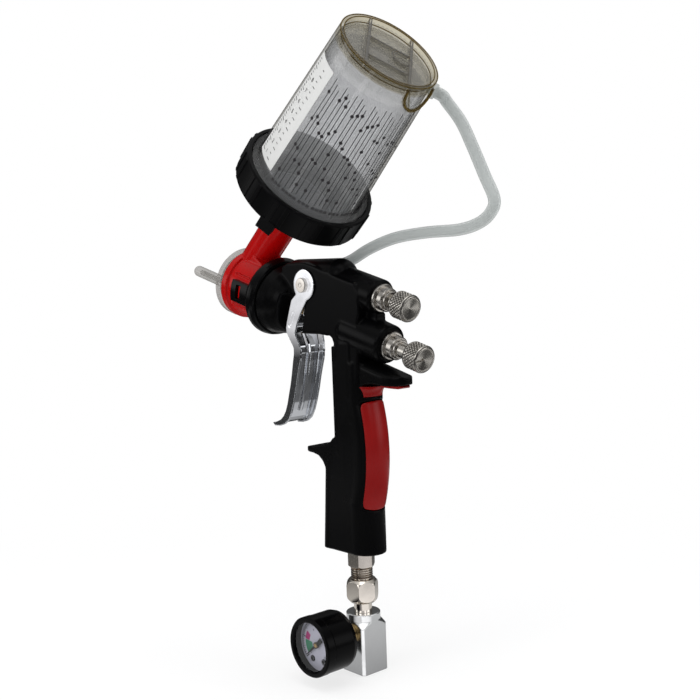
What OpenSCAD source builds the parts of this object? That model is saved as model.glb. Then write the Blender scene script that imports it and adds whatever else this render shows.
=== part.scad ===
// HVLP spray gun with a pressurised gravity cup, an air hose and a pressure gauge at the inlet.
// Origin: centre of the air inlet face under the gauge block.
// +Z runs up the air line, +X is the spray direction, +Y is the gauge side.

/* [Barrel] */
// Height of the nozzle axis above the inlet face, at X = 0
barrel_z = 225.8; // [210:0.1:240]
// Upward tilt of the barrel, degrees
barrel_pitch = 15; // [0:0.5:30]
// Height of the fan control axis above the nozzle axis
fan_h = 26.9; // [24:0.1:30]
// Half width of the flat cheeks under the trigger ears
cheek_y = 11.4; // [9:0.1:14]
// Largest radius of the nose
nose_r = 27.3; // [24:0.1:30]
// Radius of the socket that takes the atomizing head
socket_r = 19.05; // [17:0.05:21]

/* [Handle] */
// Half width of the handle
grip_y = 12.4; // [10:0.1:16]
// Height of the handle's bottom face
grip_z0 = 80; // [70:0.5:90]
// Thickness of the soft grip pad
pad_t = 2.5; // [2:0.1:4]
// Radius of the swell of the handle's back, and its height
swell_r = 109.7; // [90:0.1:140]
swell_z = 147; // [140:0.5:155]

/* [Trigger] */
// Trigger pivot, distance along the barrel and height above its axis
pivot_s = 39.5; // [35:0.1:45]
pivot_h = 19.2; // [15:0.1:24]
// Trigger ear radius
ear_r = 10.4; // [8:0.1:12]
// Outer half width of the trigger
trigger_y = 12.9; // [12:0.1:15]
// Pivot pin radius
pin_r = 3.0; // [2:0.1:4]

/* [Controls] */
// Knob radius
knob_r = 8.8; // [7:0.1:11]
// Knob length
knob_len = 12.5; // [9:0.5:16]
// Needle radius
needle_r = 1.5; // [1:0.1:2.5]
// Knurl grooves around each knob
knurls = 26; // [16:1:36]

/* [Head] */
// Distance along the barrel where the cup axis crosses it
cup_s = 119.9; // [110:0.1:125]
// Outer radius of the air cap ring
cap_r = 24.5; // [22:0.1:27]
// Front face of the air cap ring
cap_s = 121.6; // [118:0.1:125]
// Reach of the air cap horns
horn_s = 156; // [140:0.5:160]

/* [Cup] */
// Lean of the cup from the vertical, degrees
cup_lean = 49; // [40:0.5:55]
// Collar outer radius
collar_r = 46.7; // [44:0.1:50]
// Cup wall radius at the collar and at the closed end
cup_r0 = 38.9; // [36:0.1:42]
cup_r1 = 33.9; // [31:0.1:38]
// Distance of the cup's closed end from the barrel axis
cup_t1 = 210.7; // [195:0.1:225]
// Wall thickness of the cup
cup_wall = 1.6; // [1.2:0.1:2.5]

/* [Inlet and gauge] */
// Width of the gauge block
block_w = 22; // [18:0.5:26]
// Height of the gauge centre
gauge_z = 26.5; // [22:0.5:32]
// Gauge case radius
gauge_r = 19.4; // [17:0.1:22]
// Front of the gauge
gauge_y = 47.2; // [42:0.1:52]
// Air inlet thread, minor radius
port_r = 5.72; // [5:0.01:7]
// Nut width across flats
nut_af = 19; // [17:1:22]

/* [Hose] */
// Outer and inner radius of the cup pressure hose
hose_r = 3.8; // [3:0.1:5]
hose_bore = 2.6; // [2:0.1:3.5]

/* [Hidden] */
$fn = 96;
// general running clearance
gap = 0.05;
black = [0.06, 0.06, 0.065];
red = [0.72, 0.04, 0.03];
nickel = [0.80, 0.79, 0.76];
steel = [0.72, 0.73, 0.75];
brass = [0.78, 0.62, 0.32];
clear = [0.80, 0.82, 0.80, 0.45];
white = [0.92, 0.92, 0.90];
pivot_x = pivot_s * cos(barrel_pitch) - pivot_h * sin(barrel_pitch);
pivot_z = barrel_z + pivot_s * sin(barrel_pitch) + pivot_h * cos(barrel_pitch);
head_front = cap_s - 6.4;
horn_y = 17.6;
// slope of the cup wall per millimetre of its length
cup_taper = (cup_r0 - cup_r1) / (cup_t1 - 106);
fluid_back = -54.6;
fan_back = -36.5;
hose_phi = 232;
hose_t = 201.3;
elbow_s = 50;
elbow_h = 29.3;

// ---------- placing ----------
// local Z runs along the barrel from the point above X = 0; height h is measured square to it
module barrel(s = 0, h = 0, y = 0) {
  translate([0, 0, barrel_z])
    rotate([0, 90 - barrel_pitch, 0])
      translate([-h, y, s])
        children();
}

// a round bar along the barrel from s0 to s1
module bar(s0, s1, r, h = 0, y = 0) {
  barrel(s0, h, y) cylinder(r = r, h = s1 - s0);
}

// turned part on the barrel: points are [radius, distance along]
module turned(points, h = 0) {
  barrel(0, h) rotate_extrude() polygon(points);
}

// side-view outline [x, z] made y0 to y1 thick
module side(y0, y1) {
  translate([0, y1, 0])
    rotate([90, 0, 0])
      linear_extrude(y1 - y0)
        children();
}

// front-view outline [y, z] made from x0 to x1
module front(x0, x1) {
  translate([x0, 0, 0])
    rotate([90, 0, 90])
      linear_extrude(x1 - x0)
        children();
}

// sweep along the swell of the handle's back, between two angles; local X points out of the back
module swell(a0, a1) {
  translate([swell_r - grip_y - 0.1, 0, swell_z])
    rotate([90, 0, 0])
      rotate([0, 0, 180 - a1])
        rotate_extrude(angle = a1 - a0)
          children();
}

// side-view outline in barrel coordinates [along, height], y0 to y1 thick
module barrel_side(y0, y1) {
  translate([0, 0, barrel_z])
    rotate([0, -barrel_pitch, 0])
      side(y0, y1)
        children();
}

// local Z runs up the cup from the barrel; local X points forward, square to the cup
module on_cup(t = 0, phi = 0) {
  barrel(cup_s)
    rotate([0, barrel_pitch - 90 - cup_lean, 0])
      translate([0, 0, t])
        rotate([0, 0, phi])
          children();
}

module ring(r_out, r_in, h) {
  difference() {
    cylinder(r = r_out, h = h);
    translate([0, 0, -1]) cylinder(r = r_in, h = h + 2);
  }
}

module on_gauge(y) {
  translate([0, y, gauge_z]) rotate([-90, 0, 0]) children();
}

function bp(s, h, y) = [
  s * cos(barrel_pitch) - h * sin(barrel_pitch),
  y,
  barrel_z + s * sin(barrel_pitch) + h * cos(barrel_pitch)
];

function cup_pt(t, r, phi) = [
  bp(cup_s, 0, 0).x - t * sin(cup_lean) + r * cos(phi) * cos(cup_lean),
  r * sin(phi),
  bp(cup_s, 0, 0).z + t * cos(cup_lean) + r * cos(phi) * sin(cup_lean)
];

function cup_wall_r(t) = cup_r0 - (t - 106) * cup_taper;

// ---------- swept wires and hoses ----------
function unit(v) = v / norm(v);
function tangent(p, i) = unit(p[min(i + 1, len(p) - 1)] - p[max(i - 1, 0)]);
function loop_at(p, i, r, n, ref) =
  let (t = tangent(p, i), u = unit(cross(ref, t)), v = cross(t, u))
  [for (k = [0 : n - 1]) p[i] + r * (cos(360 * k / n) * u + sin(360 * k / n) * v)];

// closed skin through equal loops of n points; capped at both ends
module skin(loops, n) {
  m = len(loops);
  pts = [for (l = loops) each l];
  walls = [
    for (i = [0 : m - 2]) for (k = [0 : n - 1])
      [i * n + k, (i + 1) * n + k, (i + 1) * n + (k + 1) % n, i * n + (k + 1) % n]
  ];
  ends = [
    [for (k = [0 : n - 1]) k],
    [for (k = [0 : n - 1]) m * n - 1 - k]
  ];
  polyhedron(points = pts, faces = concat(walls, ends), convexity = 8);
}

// closed tube: out along the outside and back along the inside
module tube_skin(path, r_out, r_in, n, ref) {
  m = len(path);
  outer = [for (i = [0 : m - 1]) each loop_at(path, i, r_out, n, ref)];
  inner = [for (i = [0 : m - 1]) each loop_at(path, i, r_in, n, ref)];
  walls = [
    for (i = [0 : m - 2]) for (k = [0 : n - 1]) let (a = i * n + k, b = i * n + (k + 1) % n)
      [a, a + n, b + n, b]
  ];
  bores = [for (f = walls) [f[3] + m * n, f[2] + m * n, f[1] + m * n, f[0] + m * n]];
  rims = [
    for (k = [0 : n - 1]) let (a = k, b = (k + 1) % n) [a, b, b + m * n, a + m * n],
    for (k = [0 : n - 1]) let (a = (m - 1) * n + k, b = (m - 1) * n + (k + 1) % n)
      [b, a, a + m * n, b + m * n]
  ];
  polyhedron(points = concat(outer, inner), faces = concat(walls, bores, rims), convexity = 8);
}

function spline(p, i, u) =
  let (
    a = p[max(i - 1, 0)], b = p[i], c = p[i + 1], d = p[min(i + 2, len(p) - 1)]
  )
  0.5 * (2 * b + (c - a) * u + (2 * a - 5 * b + 4 * c - d) * u * u + (3 * b - a - 3 * c + d) * u * u * u);

function smooth_path(p, n) = concat(
  [for (i = [0 : len(p) - 2]) for (k = [0 : n - 1]) spline(p, i, k / n)],
  [p[len(p) - 1]]
);

function coil(r, s0, s1, turns, n) = [
  for (i = [0 : n]) [r * cos(360 * turns * i / n), r * sin(360 * turns * i / n), s0 + (s1 - s0) * i / n]
];

module coil_spring(r, wire, s0, s1, turns) {
  path = coil(r, s0, s1, turns, turns * 16);
  skin([for (i = [0 : len(path) - 1]) loop_at(path, i, wire, 8, [0, 0, 1])], 8);
}

// ---------- gun body ----------
module nose_shape() {
  turned([
    [0, 50], [15.5, 50], [18, 54], [20.8, 60], [22.8, 66], [24.6, 73.5], [23.4, 73.5],
    [23.4, 84], [0, 84]
  ]);
}

module spine_shape() {
  side(-cheek_y, cheek_y)
    polygon([
      [60, 258], [57.5, 267], [52, 269.3], [39.8, 269.6], [34.7, 269.4], [24, 267], [15.4, 264],
      [-6.2, 257.7], [-15.3, 255.6], [-18, 250], [-18.3, 236], [-16.5, 230], [-17, 220],
      [-16, 209], [-14, 190], [-10, 170], [-6, 150], [8, 150], [8.4, 180], [7, 217],
      [8.6, 220.5], [11, 221.7], [14, 221.6], [21, 222.3], [30, 222.2], [39.2, 222.3],
      [34, 243.6], [53.2, 248.8], [56.2, 238], [64, 240]
    ]);
  // web between the two knob bosses
  side(-4, 4) polygon([[-10, 226], [-24, 226], [-27, 229], [-27, 236], [-20, 240], [-10, 240]]);
  // crown over the trigger pivot, running into the upper knob boss
  translate([8, 0, 260.3]) rotate([0, 90, 0]) cylinder(r = cheek_y - 0.15, h = 46);
  translate([9.2, 0, 260.3]) rotate([0, 90, 0]) sphere(r = cheek_y - 0.5);
}

module boss_shape() {
  turned([[0, -21.7], [10.4, -21.7], [11.2, -20.6], [11.2, 16], [0, 16]], fan_h);
  turned([[0, -36], [11.6, -36], [12.6, -34.6], [12.9, -24], [12.9, 0], [10.8, 6], [0, 6]]);
}

// plan outline of the tang, drawn in by an inset
module tang_plan(inset) {
  edge = [[-8, 9.8], [-30, 9.8], [-36, 9.5], [-40.6, 8.7], [-44.6, 7.3], [-47.6, 5.5], [-50, 3]];
  half = [for (p = edge) [p.x + inset, p.y - inset]];
  translate([0, 0, 180])
    linear_extrude(40)
      polygon(concat(
        half, [[-51.2 + inset, 0]], [for (k = [len(half) - 1 : -1 : 0]) [half[k].x, -half[k].y]]
      ));
}

module tang_shape() {
  intersection() {
    side(-10, 10)
      polygon([
        [-8, 209], [-16, 207], [-25, 204.9], [-37.8, 201.6], [-44.7, 199.2], [-49.2, 197.2],
        [-51.2, 195.2], [-51, 193.6], [-49.4, 192.4], [-45.7, 191.8], [-37.2, 191.7],
        [-24.3, 192.2], [-18, 190.6], [-8, 190.6]
      ]);
    tang_plan(0);
    // crowned top
    bar(-70, 0, 13.4, -27.2);
  }
}

module grip_shape() {
  // rounded back with its swell
  translate([-6.9, 0, grip_z0]) cylinder(r = grip_y - 0.25, h = 34);
  swell(-18.1, 18.1) translate([swell_r, 0]) circle(r = grip_y - 0.1);
  translate([-8.2, 0, 166]) cylinder(r = grip_y - 0.2, h = 39);
  // flat cheeks and front face of the lower grip
  side(-grip_y + 0.4, grip_y - 0.4)
    polygon([
      [-7, grip_z0], [20.6, grip_z0], [16.2, 138], [9, 152], [6.3, 160], [6.3, 218],
      [-8.4, 218], [-8.4, 180], [-11.6, 162], [-12.4, 148], [-11.4, 134], [-7, 113]
    ]);
  side(-7.4, 7.4)
    polygon([[0, grip_z0], [25.6, grip_z0], [21.2, 138], [8, 152], [0, 152]]);
  for (y = [-7.4, 7.4])
    translate([20.6, y, grip_z0]) rotate([0, -4.34, 0]) cylinder(r = 4.95, h = 60);
  // rounded front of the upper grip
  translate([0, -7.4, 145]) cube([11.2, 14.8, 68]);
  for (y = [-7.35, 7.35])
    translate([6.3, y, 145]) cylinder(r = 4.85, h = 70);
}

module finger_hook() {
  intersection() {
    side(-grip_y + 0.3, grip_y - 0.3)
      polygon([
        [0, 155], [11, 155], [14, 151.8], [22, 149.6], [32, 147.6], [40, 146.2], [43.2, 145.4],
        [44.4, 144.4], [43.6, 143.4], [40, 143], [32, 142.9], [26, 141.6], [22, 138.6], [16, 129],
        [0, 128]
      ]);
    union() {
      translate([32.3, 0, 120]) cylinder(r = grip_y - 0.35, h = 40);
      translate([0, -grip_y + 0.35, 120]) cube([32.3, 2 * grip_y - 0.7, 40]);
    }
  }
}

// recesses beside the cheeks that the trigger ears and arms swing in
module trigger_pockets() {
  for (m = [0, 1])
    mirror([0, m, 0])
      barrel_side(cheek_y, 40) {
        translate([pivot_s, pivot_h]) circle(r = 14);
        polygon([[25.5, 18], [53.5, 18], [57, 0], [57, -40], [0, -40], [0, -4], [18, 0]]);
      }
}

// seats of the soft grip parts
module pad_seats() {
  swell(-18, 16.2)
    difference() {
      translate([swell_r + 7, -30]) square([40, 60]);
      translate([swell_r, 0]) circle(r = grip_y - 0.1 - pad_t);
    }
  difference() {
    translate([-45, -20, 183.2]) cube([28, 40, 7.1]);
    translate([-8.2, 0, 180]) cylinder(r = grip_y - 1.6, h = 12);
  }
}

module air_ways() {
  // mouth of the handle air way, and the way up to the valve chamber
  translate([0, 0, grip_z0 - 1]) cylinder(r = 7 + gap, h = 17);
  translate([1.3, 0, grip_z0 + 12]) rotate([0, 1.2, 0]) cylinder(r = 2.8, h = 134);
  // valve chamber
  bar(2, 23.05, 7);
  bar(23, 30.6, 5.2);
  // riser to the upper air way
  barrel(26.5, 0) rotate([0, -90, 0]) cylinder(r = 2.4, h = fan_h);
  // upper air way and its drop to the nose
  bar(18, 52, 2.4, fan_h);
  barrel(50, fan_h) rotate([0, 40, 0]) cylinder(r = 2.4, h = 18);
  // nozzle air ways
  for (y = [-3.6, 3.6]) bar(25, 63, 1.7, 12.6, y);
}

module gun_body() {
  color(black)
    difference() {
      union() {
        nose_shape();
        spine_shape();
        boss_shape();
        tang_shape();
        grip_shape();
        finger_hook();
      }
      trigger_pockets();
      pad_seats();
      air_ways();
      // slot that the trigger yoke moves in
      barrel_side(-cheek_y - 8, cheek_y + 8)
        polygon([[37, 9], [56.5, 9], [56.5, -20], [60, -45], [37, -45]]);
      // socket for the atomizing head
      bar(62, 90, socket_r);
      bar(55, 70, 2.6);
      // counterbore for the trigger pusher, guide thread, needle spring chamber
      bar(30.5, 40, 6.2);
      bar(-4, 3, 7);
      bar(-40, -2, 7.05);
      // fan control bores
      bar(-25, -5.5, 6.55, fan_h);
      bar(-6, 15, 3.2, fan_h);
      bar(14, 19, 2.0, fan_h);
      // trigger pin
      translate([pivot_x, -30, pivot_z]) rotate([-90, 0, 0]) cylinder(r = pin_r + gap, h = 60);
      // hose elbow
      translate(bp(elbow_s, elbow_h, -cheek_y - 1))
        rotate([-90, 0, 0]) cylinder(r = 2.5 + gap, h = 11.4);
    }
}

// rim of the nose with the two catch tongues that hold the head
module nose_ring() {
  color(black) {
    difference() {
      union() {
        turned([
          [23.45, 73.6], [25.4, 73.6], [26.2, 74.6], [27, 77], [nose_r, 79], [nose_r, 80.5], [26.4, 82.6],
          [25.2, 84], [23.45, 84]
        ]);
        for (m = [0, 1])
          mirror([0, m, 0])
            barrel(83.5, 0)
              intersection() {
                ring(25.2, 22.5, 18.5);
                translate([-7.5, 15, 0]) cube([15, 15, 18.5]);
              }
      }
      for (m = [0, 1])
        mirror([0, m, 0])
          barrel(91.5, 0) translate([-5, 15, 0]) cube([10, 15, 5]);
      // keep the tongues clear of the head below the rim
      turned([[22, 70], [23.45, 70], [23.45, 84.05], [22, 84.05]]);
    }
  }
}

module grip_pad() {
  color(red)
    swell(-17.9, 16.1)
      difference() {
        translate([swell_r, 0]) circle(r = grip_y - 0.1);
        translate([swell_r, 0]) circle(r = grip_y - 0.05 - pad_t);
        translate([0, -30]) square([swell_r + 7.1, 60]);
      }
}

module grip_band() {
  color(red)
    intersection() {
      side(-grip_y - 1, grip_y + 1)
        polygon([
          [-17.05, 183.3], [-20.8, 183.3], [-21.4, 185.8], [-22.6, 188.2], [-24, 190.2], [-17.05, 190.2]
        ]);
      difference() {
        translate([-11.5, 0, 180]) cylinder(r = grip_y + 0.1, h = 14);
        translate([-8.2, 0, 180]) cylinder(r = grip_y - 1.55, h = 14);
      }
    }
}

// soft strip under the tang
module tang_pad() {
  color(red)
    intersection() {
      side(-8.5, 8.5)
        polygon([
          [-33, 190.9], [-45.6, 190], [-48.4, 191.2], [-46.2, 191.7], [-37.2, 191.6], [-33, 191.75]
        ]);
      tang_plan(1.2);
    }
}

// ---------- inlet and gauge ----------
module hexagon(af, h) {
  rotate([0, 0, 6]) cylinder(r = af / sqrt(3), h = h, $fn = 6);
}

module inlet_fitting() {
  color(nickel)
    difference() {
      union() {
        translate([0, 0, grip_z0 - 0.05]) cylinder(r = 7, h = 15);
        intersection() {
          translate([0, 0, 69.7]) hexagon(16, grip_z0 - 69.75);
          translate([0, 0, 69.7])
            rotate_extrude() polygon([[0, 0], [8.1, 0], [9.3, 1.1], [9.3, 12], [0, 12]]);
        }
        // external thread as ridges
        translate([0, 0, 56.6]) cylinder(r = 6.2, h = 13.4);
        for (z = [57 : 1.337 : 68])
          translate([0, 0, z])
            rotate_extrude() polygon([[6.1, -0.55], [6.8, -0.12], [6.8, 0.12], [6.1, 0.55]]);
      }
      translate([0, 0, 50]) cylinder(r = 4, h = 60);
      translate([0, 0, 56]) cylinder(r1 = 5.9, r2 = 4, h = 3);
    }
}

module swivel_nut() {
  color(nickel)
    difference() {
      intersection() {
        translate([0, 0, 45.9]) hexagon(nut_af, 15.4);
        rotate_extrude()
          polygon([
            [0, 45.9], [8.4, 45.9], [10.2, 48], [11, 50.4], [11, 57], [10.2, 59.4], [8.6, 61.3], [0, 61.3]
          ]);
      }
      translate([0, 0, 40]) cylinder(r = 6 + gap, h = 20);
      translate([0, 0, 48.4]) cylinder(r = 7.7, h = 5.2);
      translate([0, 0, 53.5]) cylinder(r = 6.87, h = 10);
    }
}

module swivel_tail() {
  color(nickel)
    difference() {
      rotate_extrude()
        polygon([
          [0, 31.05], [5.7, 31.05], [5.7, 39.3], [6, 39.3], [6, 48.5], [7.6, 48.5], [7.6, 51], [5.6, 52.6],
          [5.0, 56], [0, 56]
        ]);
      translate([0, 0, 20]) cylinder(r = 3, h = 40);
    }
}

module gauge_block() {
  c = 1.5;
  w = block_w / 2;
  color(steel)
    difference() {
      intersection() {
        linear_extrude(39.2)
          polygon([
            [-w + c, -w], [w - c, -w], [w, -w + c], [w, w - c], [w - c, w], [-w + c, w],
            [-w, w - c], [-w, -w + c]
          ]);
        rotate_extrude()
          polygon([
            [0, 0], [14.2, 0], [14.9, 0.8], [14.9, 30.5], [11.3, 34.4], [11.25, 34.4],
            [11.25, 38.8], [10.85, 39.2], [0, 39.2]
          ]);
      }
      translate([0, 0, -1]) cylinder(r = port_r, h = 13);
      translate([0, 0, 5]) cylinder(r = 3, h = 30);
      translate([0, 0, 31]) cylinder(r = 5.75, h = 20);
      on_gauge(2) cylinder(r = 4.3, h = 20);
      on_gauge(-1) cylinder(r = 1.5, h = 8);
    }
}

module gauge_stem() {
  color(brass)
    on_gauge(3)
      difference() {
        union() {
          cylinder(r = 4.25, h = 20.9);
          translate([0, 0, 8.1]) cylinder(r = 6, h = 9.9);
        }
        translate([0, 0, -1]) cylinder(r = 1.2, h = 20);
      }
}

module gauge_case() {
  color(black)
    on_gauge(0)
      difference() {
        rotate_extrude()
          polygon([
            [0, 21.2], [15.5, 21.2], [18.2, 22.3], [19.1, 25], [19.1, 40.4], [18.3, 40.8],
            [18.3, 43.4], [0, 43.4]
          ]);
        translate([0, 0, 23.2]) cylinder(r = 17.3, h = 30);
        translate([0, 0, 20]) cylinder(r = 4.3, h = 10);
      }
}

module gauge_bezel() {
  color(black)
    on_gauge(0)
      rotate_extrude()
        polygon([
          [18.35, 40.95], [gauge_r, 40.95], [gauge_r, 46.2], [18.7, gauge_y], [16.6, gauge_y],
          [15.6, 46.1], [15.6, 45.9], [18.35, 45.9]
        ]);
}

module gauge_lens() {
  color(clear)
    on_gauge(43.5) cylinder(r = 18.2, h = 2.3);
}

module gauge_dial() {
  color(white)
    on_gauge(39)
      difference() {
        union() {
          cylinder(r = 17.2, h = 0.6);
          // two dial screws
          for (a = [-62, -118])
            rotate([0, 0, -a]) translate([11.5, 0, 0]) cylinder(r = 1.5, h = 1.3);
        }
        translate([0, 0, -1]) cylinder(r = 1.1, h = 3);
      }
}

// bent pressure tube and its movement plate behind the dial
module gauge_tube() {
  color(brass)
    on_gauge(24.1) {
      rotate([0, 0, 100]) rotate_extrude(angle = 270) translate([12.5, 5]) circle(r = 1.9, $fn = 32);
      difference() {
        union() {
          translate([-9, -7, 0]) cube([18, 14, 3]);
          rotate([0, 0, 110]) translate([6.5, -2, 0]) cube([7, 4, 4.4]);
        }
        translate([0, 0, -1]) cylinder(r = 0.85, h = 6);
      }
    }
}

module gauge_pointer() {
  color(black)
    on_gauge(0) {
      translate([0, 0, 24.6]) cylinder(r = 0.8, h = 17.2);
      translate([0, 0, 40.6]) cylinder(r = 2, h = 1.3);
      translate([0, 0, 40.9])
        linear_extrude(0.5)
          rotate([0, 0, 40])
            polygon([[-6.8, -1.7], [-6.8, 1.7], [-1, 0.9], [12.8, 0.25], [12.8, -0.25], [-1, -0.9]]);
    }
}

// ---------- trigger ----------
arm_front = [
  [46.7, 244.6], [49.6, 237.4], [52.4, 230], [53.6, 225.6], [53.3, 222.6], [51, 217.4],
  [48.8, 213], [48.8, 208.6]
];
flange_front = [
  [50.3, 202.5], [52.3, 193.3], [54.1, 186.4], [56.1, 180.2], [58, 174], [60.4, 168.4],
  [63, 164.8], [66.6, 161.9], [71, 160.2], [75.4, 159.3]
];
arm_back = [
  [73.2, 157.2], [67.2, 157.6], [62.2, 159], [57.8, 162], [54.2, 167.6], [51.1, 175.1],
  [48.4, 183.6], [46.2, 191.8], [44.2, 198], [42.1, 204.1], [41.4, 210.1], [42.2, 214.9],
  [44, 219.4], [44.2, 223.1], [41.5, 229.8], [36.8, 237], [30, 245.4], [33, 252]
];
// front view of one arm: straight beside the body, then drawn in to the plate
arm_width = [
  [trigger_y, 275], [trigger_y, 222.5], [trigger_y - 2, 211], [trigger_y - 2, 150],
  [trigger_y - 3.6, 150], [trigger_y - 3.6, 210.5], [cheek_y + 0.2, 222], [cheek_y + 0.2, 275]
];
plate_y = trigger_y - 2.1;

module arm_outline() {
  polygon(concat([[37, 252]], arm_front, flange_front, arm_back));
  translate([pivot_x, pivot_z]) circle(r = ear_r);
}

// front plate: between the front outline and the same outline moved back by the sheet
module plate_outline() {
  sheet = 2.2;
  front = concat([for (i = [2 : 7]) arm_front[i]], flange_front);
  back = [for (i = [0 : len(front) - 1]) front[len(front) - 1 - i] + [-sheet, i < 4 ? -1.2 : 0]];
  polygon(concat(front, back));
}

module trigger() {
  color(steel)
    difference() {
      union() {
        for (m = [0, 1])
          mirror([0, m, 0])
            intersection() {
              side(trigger_y - 4, trigger_y + 1) arm_outline();
              front(0, 100) polygon(arm_width);
            }
        intersection() {
          side(-trigger_y, trigger_y) plate_outline();
          union() {
            front(0, 100)
              polygon([
                [-plate_y, 168.4], [-plate_y, 211], [-plate_y - 1.8, 222], [-plate_y - 1.8, 240],
                [plate_y + 1.8, 240], [plate_y + 1.8, 222], [plate_y, 211], [plate_y, 168.4]
              ]);
            translate([0, 0, 168.4]) rotate([0, 90, 0]) cylinder(r = plate_y, h = 100);
          }
        }
        // stiffening rib down the back of the plate
        side(-1.4, 1.4)
          polygon([
            [50.6, 222], [47, 213], [46.8, 208], [48.4, 202], [50.4, 193], [52.2, 186], [54.2, 180],
            [56.1, 173.8], [58.6, 167.8], [57.4, 167.2], [54.4, 173.4], [52.4, 179.4], [50.4, 186],
            [48.2, 193], [46.2, 202], [44.6, 208], [45, 214], [48.6, 222]
          ]);
        // yoke that draws the pusher back
        barrel_side(-cheek_y - 0.3, cheek_y + 0.3)
          polygon([[47, 5], [49, 5], [49, -4], [50.2, -8], [50.2, -10.5], [47, -10.5]]);
      }
      // needle slot in the yoke and the top of the plate
      barrel_side(-2.6, 2.6)
        polygon([[40, -3.4], [60, -6.5], [60, 20], [40, 20]]);
      translate([pivot_x, -30, pivot_z]) rotate([-90, 0, 0]) cylinder(r = pin_r + gap, h = 60);
      // pressed dimple in each arm
      for (y = [-trigger_y - 1.5, trigger_y - 0.5])
        side(y, y + 2)
          polygon([[44.6, 236.5], [46.4, 236], [50.6, 228], [49.6, 226.4], [47.8, 227.4], [44, 234.8]]);
    }
}

module trigger_pin() {
  color(steel)
    translate([pivot_x, 0, pivot_z])
      rotate([-90, 0, 0])
        difference() {
          union() {
            translate([0, 0, -15.4]) cylinder(r = pin_r, h = 29);
            translate([0, 0, trigger_y + 0.15])
              rotate_extrude() polygon([[0, 0], [5.1, 0], [5.1, 2.2], [4.4, 2.9], [0, 3.1]]);
          }
          translate([0, 0, -14.35]) ring(4, 2.3, 0.9);
          translate([0, 0, 14.6]) cylinder(r = 1.5, h = 3, $fn = 6);
        }
}

module pin_clip() {
  color(steel)
    translate([pivot_x, -13.55, pivot_z])
      rotate([90, 0, 0])
        difference() {
          cylinder(r = 5, h = 0.7);
          translate([0, 0, -1]) cylinder(r = 2.35, h = 3);
          translate([-1.7, -6, -1]) cube([3.4, 6, 3]);
        }
}

// ---------- needle and air valve ----------
module needle() {
  color(steel) {
    turned([
      [0, -14], [4.4, -14], [4.4, -8], [needle_r, -8], [needle_r, 10], [2.6, 10], [2.6, 12.9],
      [needle_r, 12.9], [needle_r, 118], [0.72, 121.6], [0, 121.6]
    ]);
  }
}

module needle_spring() {
  color(steel) barrel(0) coil_spring(3.5, 0.6, -31.6, -14.7, 6);
}

// divides the air chamber from the needle spring chamber
module needle_seal() {
  color(white)
    turned([[needle_r + gap, -1.9], [6.95, -1.9], [6.95, 1.9], [needle_r + gap, 1.9]]);
}

// hollow air valve stem with its trigger pusher
module valve_sleeve() {
  r_in = needle_r + 0.09;
  dome = 5;
  dome_s = 41.9;
  color(brass)
    turned(concat(
      [
        [r_in, 14], [2.7, 14], [2.7, 17], [5.6, 17], [5.6, 20], [2.7, 20.5], [2.7, 37.6],
        [dome, 37.6], [dome, 38.6], [dome - 0.5, 38.8], [dome - 0.5, 39.2], [dome, 39.4],
        [dome, 40.2], [dome - 0.5, 40.4], [dome - 0.5, 40.8], [dome, 41]
      ],
      [for (a = [0 : 6 : 66]) [dome * cos(a), dome_s + dome * sin(a)]],
      [[r_in, dome_s + dome * sin(70)]]
    ));
}

module valve_seat() {
  color(white)
    turned([[3.6, 20.6], [6.95, 20.6], [6.95, 23], [3.6, 23]]);
}

module valve_spring() {
  color(steel) barrel(0) coil_spring(4.6, 0.55, 3.0, 16.3, 5);
}

module valve_guide() {
  color(brass)
    turned([[2.75, 26], [5.15, 26], [5.15, 30.55], [6.15, 30.55], [6.15, 31.2], [2.75, 31.2]]);
}

// ---------- controls ----------
// flanged bush screwed into the body; s is the body face it sits on
module bush(h, s, r_thread, r_bore, depth, step) {
  color(nickel)
    turned([
      [r_bore, s + depth], [r_thread, s + depth], [r_thread, s - 0.05], [9.2, s - 0.05],
      [9.2, s - 2.0], [8.7, s - 2.5], [7.6, s - 2.5], [7.6, s - step + 2.6], [6.9, s - step + 2],
      [6.2, s - step + 2], [6.2, s - step + 0.4], [5.8, s - step], [r_bore, s - step]
    ], h);
}

module fluid_bush() {
  bush(0, -36, 7, 4.9, 18, 10);
}

module fan_bush() {
  bush(fan_h, -21.7, 6.5, 4.3, 15.5, 9.4);
}

// knurled knob with a turned end face; s is its front face
module knob(h, s, r_shaft, shaft, r_bore, bore) {
  color(nickel)
    difference() {
      turned([
        [0, s - knob_len + 1.2], [2.2, s - knob_len + 0.9], [6.6, s - knob_len + 0.2],
        [6.8, s - knob_len], [7.7, s - knob_len], [knob_r, s - knob_len + 1.1],
        [knob_r, s - 1.6], [7.9, s], [r_shaft, s], [r_shaft, s + shaft], [0, s + shaft]
      ], h);
      // knurl grooves
      for (k = [0 : knurls - 1])
        barrel(s - knob_len + 2.4, h)
          rotate([0, 0, 360 * k / knurls])
            translate([knob_r + 0.25, 0, 0])
              rotate([0, 0, 45])
                translate([-0.4, -0.4, 0])
                  cube([0.8, 0.8, knob_len - 4.6]);
      barrel(s + shaft - bore, h) cylinder(r = r_bore, h = bore + 1);
    }
}

module fluid_knob() {
  difference() {
    knob(0, fluid_back, 4.8, 20.6, 1.6, 30);
    // screwdriver slot
    color(nickel) barrel(fluid_back - knob_len - 1, 0, 0) translate([-1, 0.4, 0]) cube([2, 12, 3.4]);
  }
}

module fan_knob() {
  knob(fan_h, fan_back, 4.2, 30.8, 2.0, 20);
}

// spring seat and guide pin that travel with the fluid knob
module spring_guide() {
  color(steel)
    turned([
      [0, -62], [1.5, -62], [1.5, -33.9], [4.3, -33.9], [4.3, -32.9], [1.5, -32.9], [1.5, -25],
      [0, -25]
    ]);
}

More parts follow.
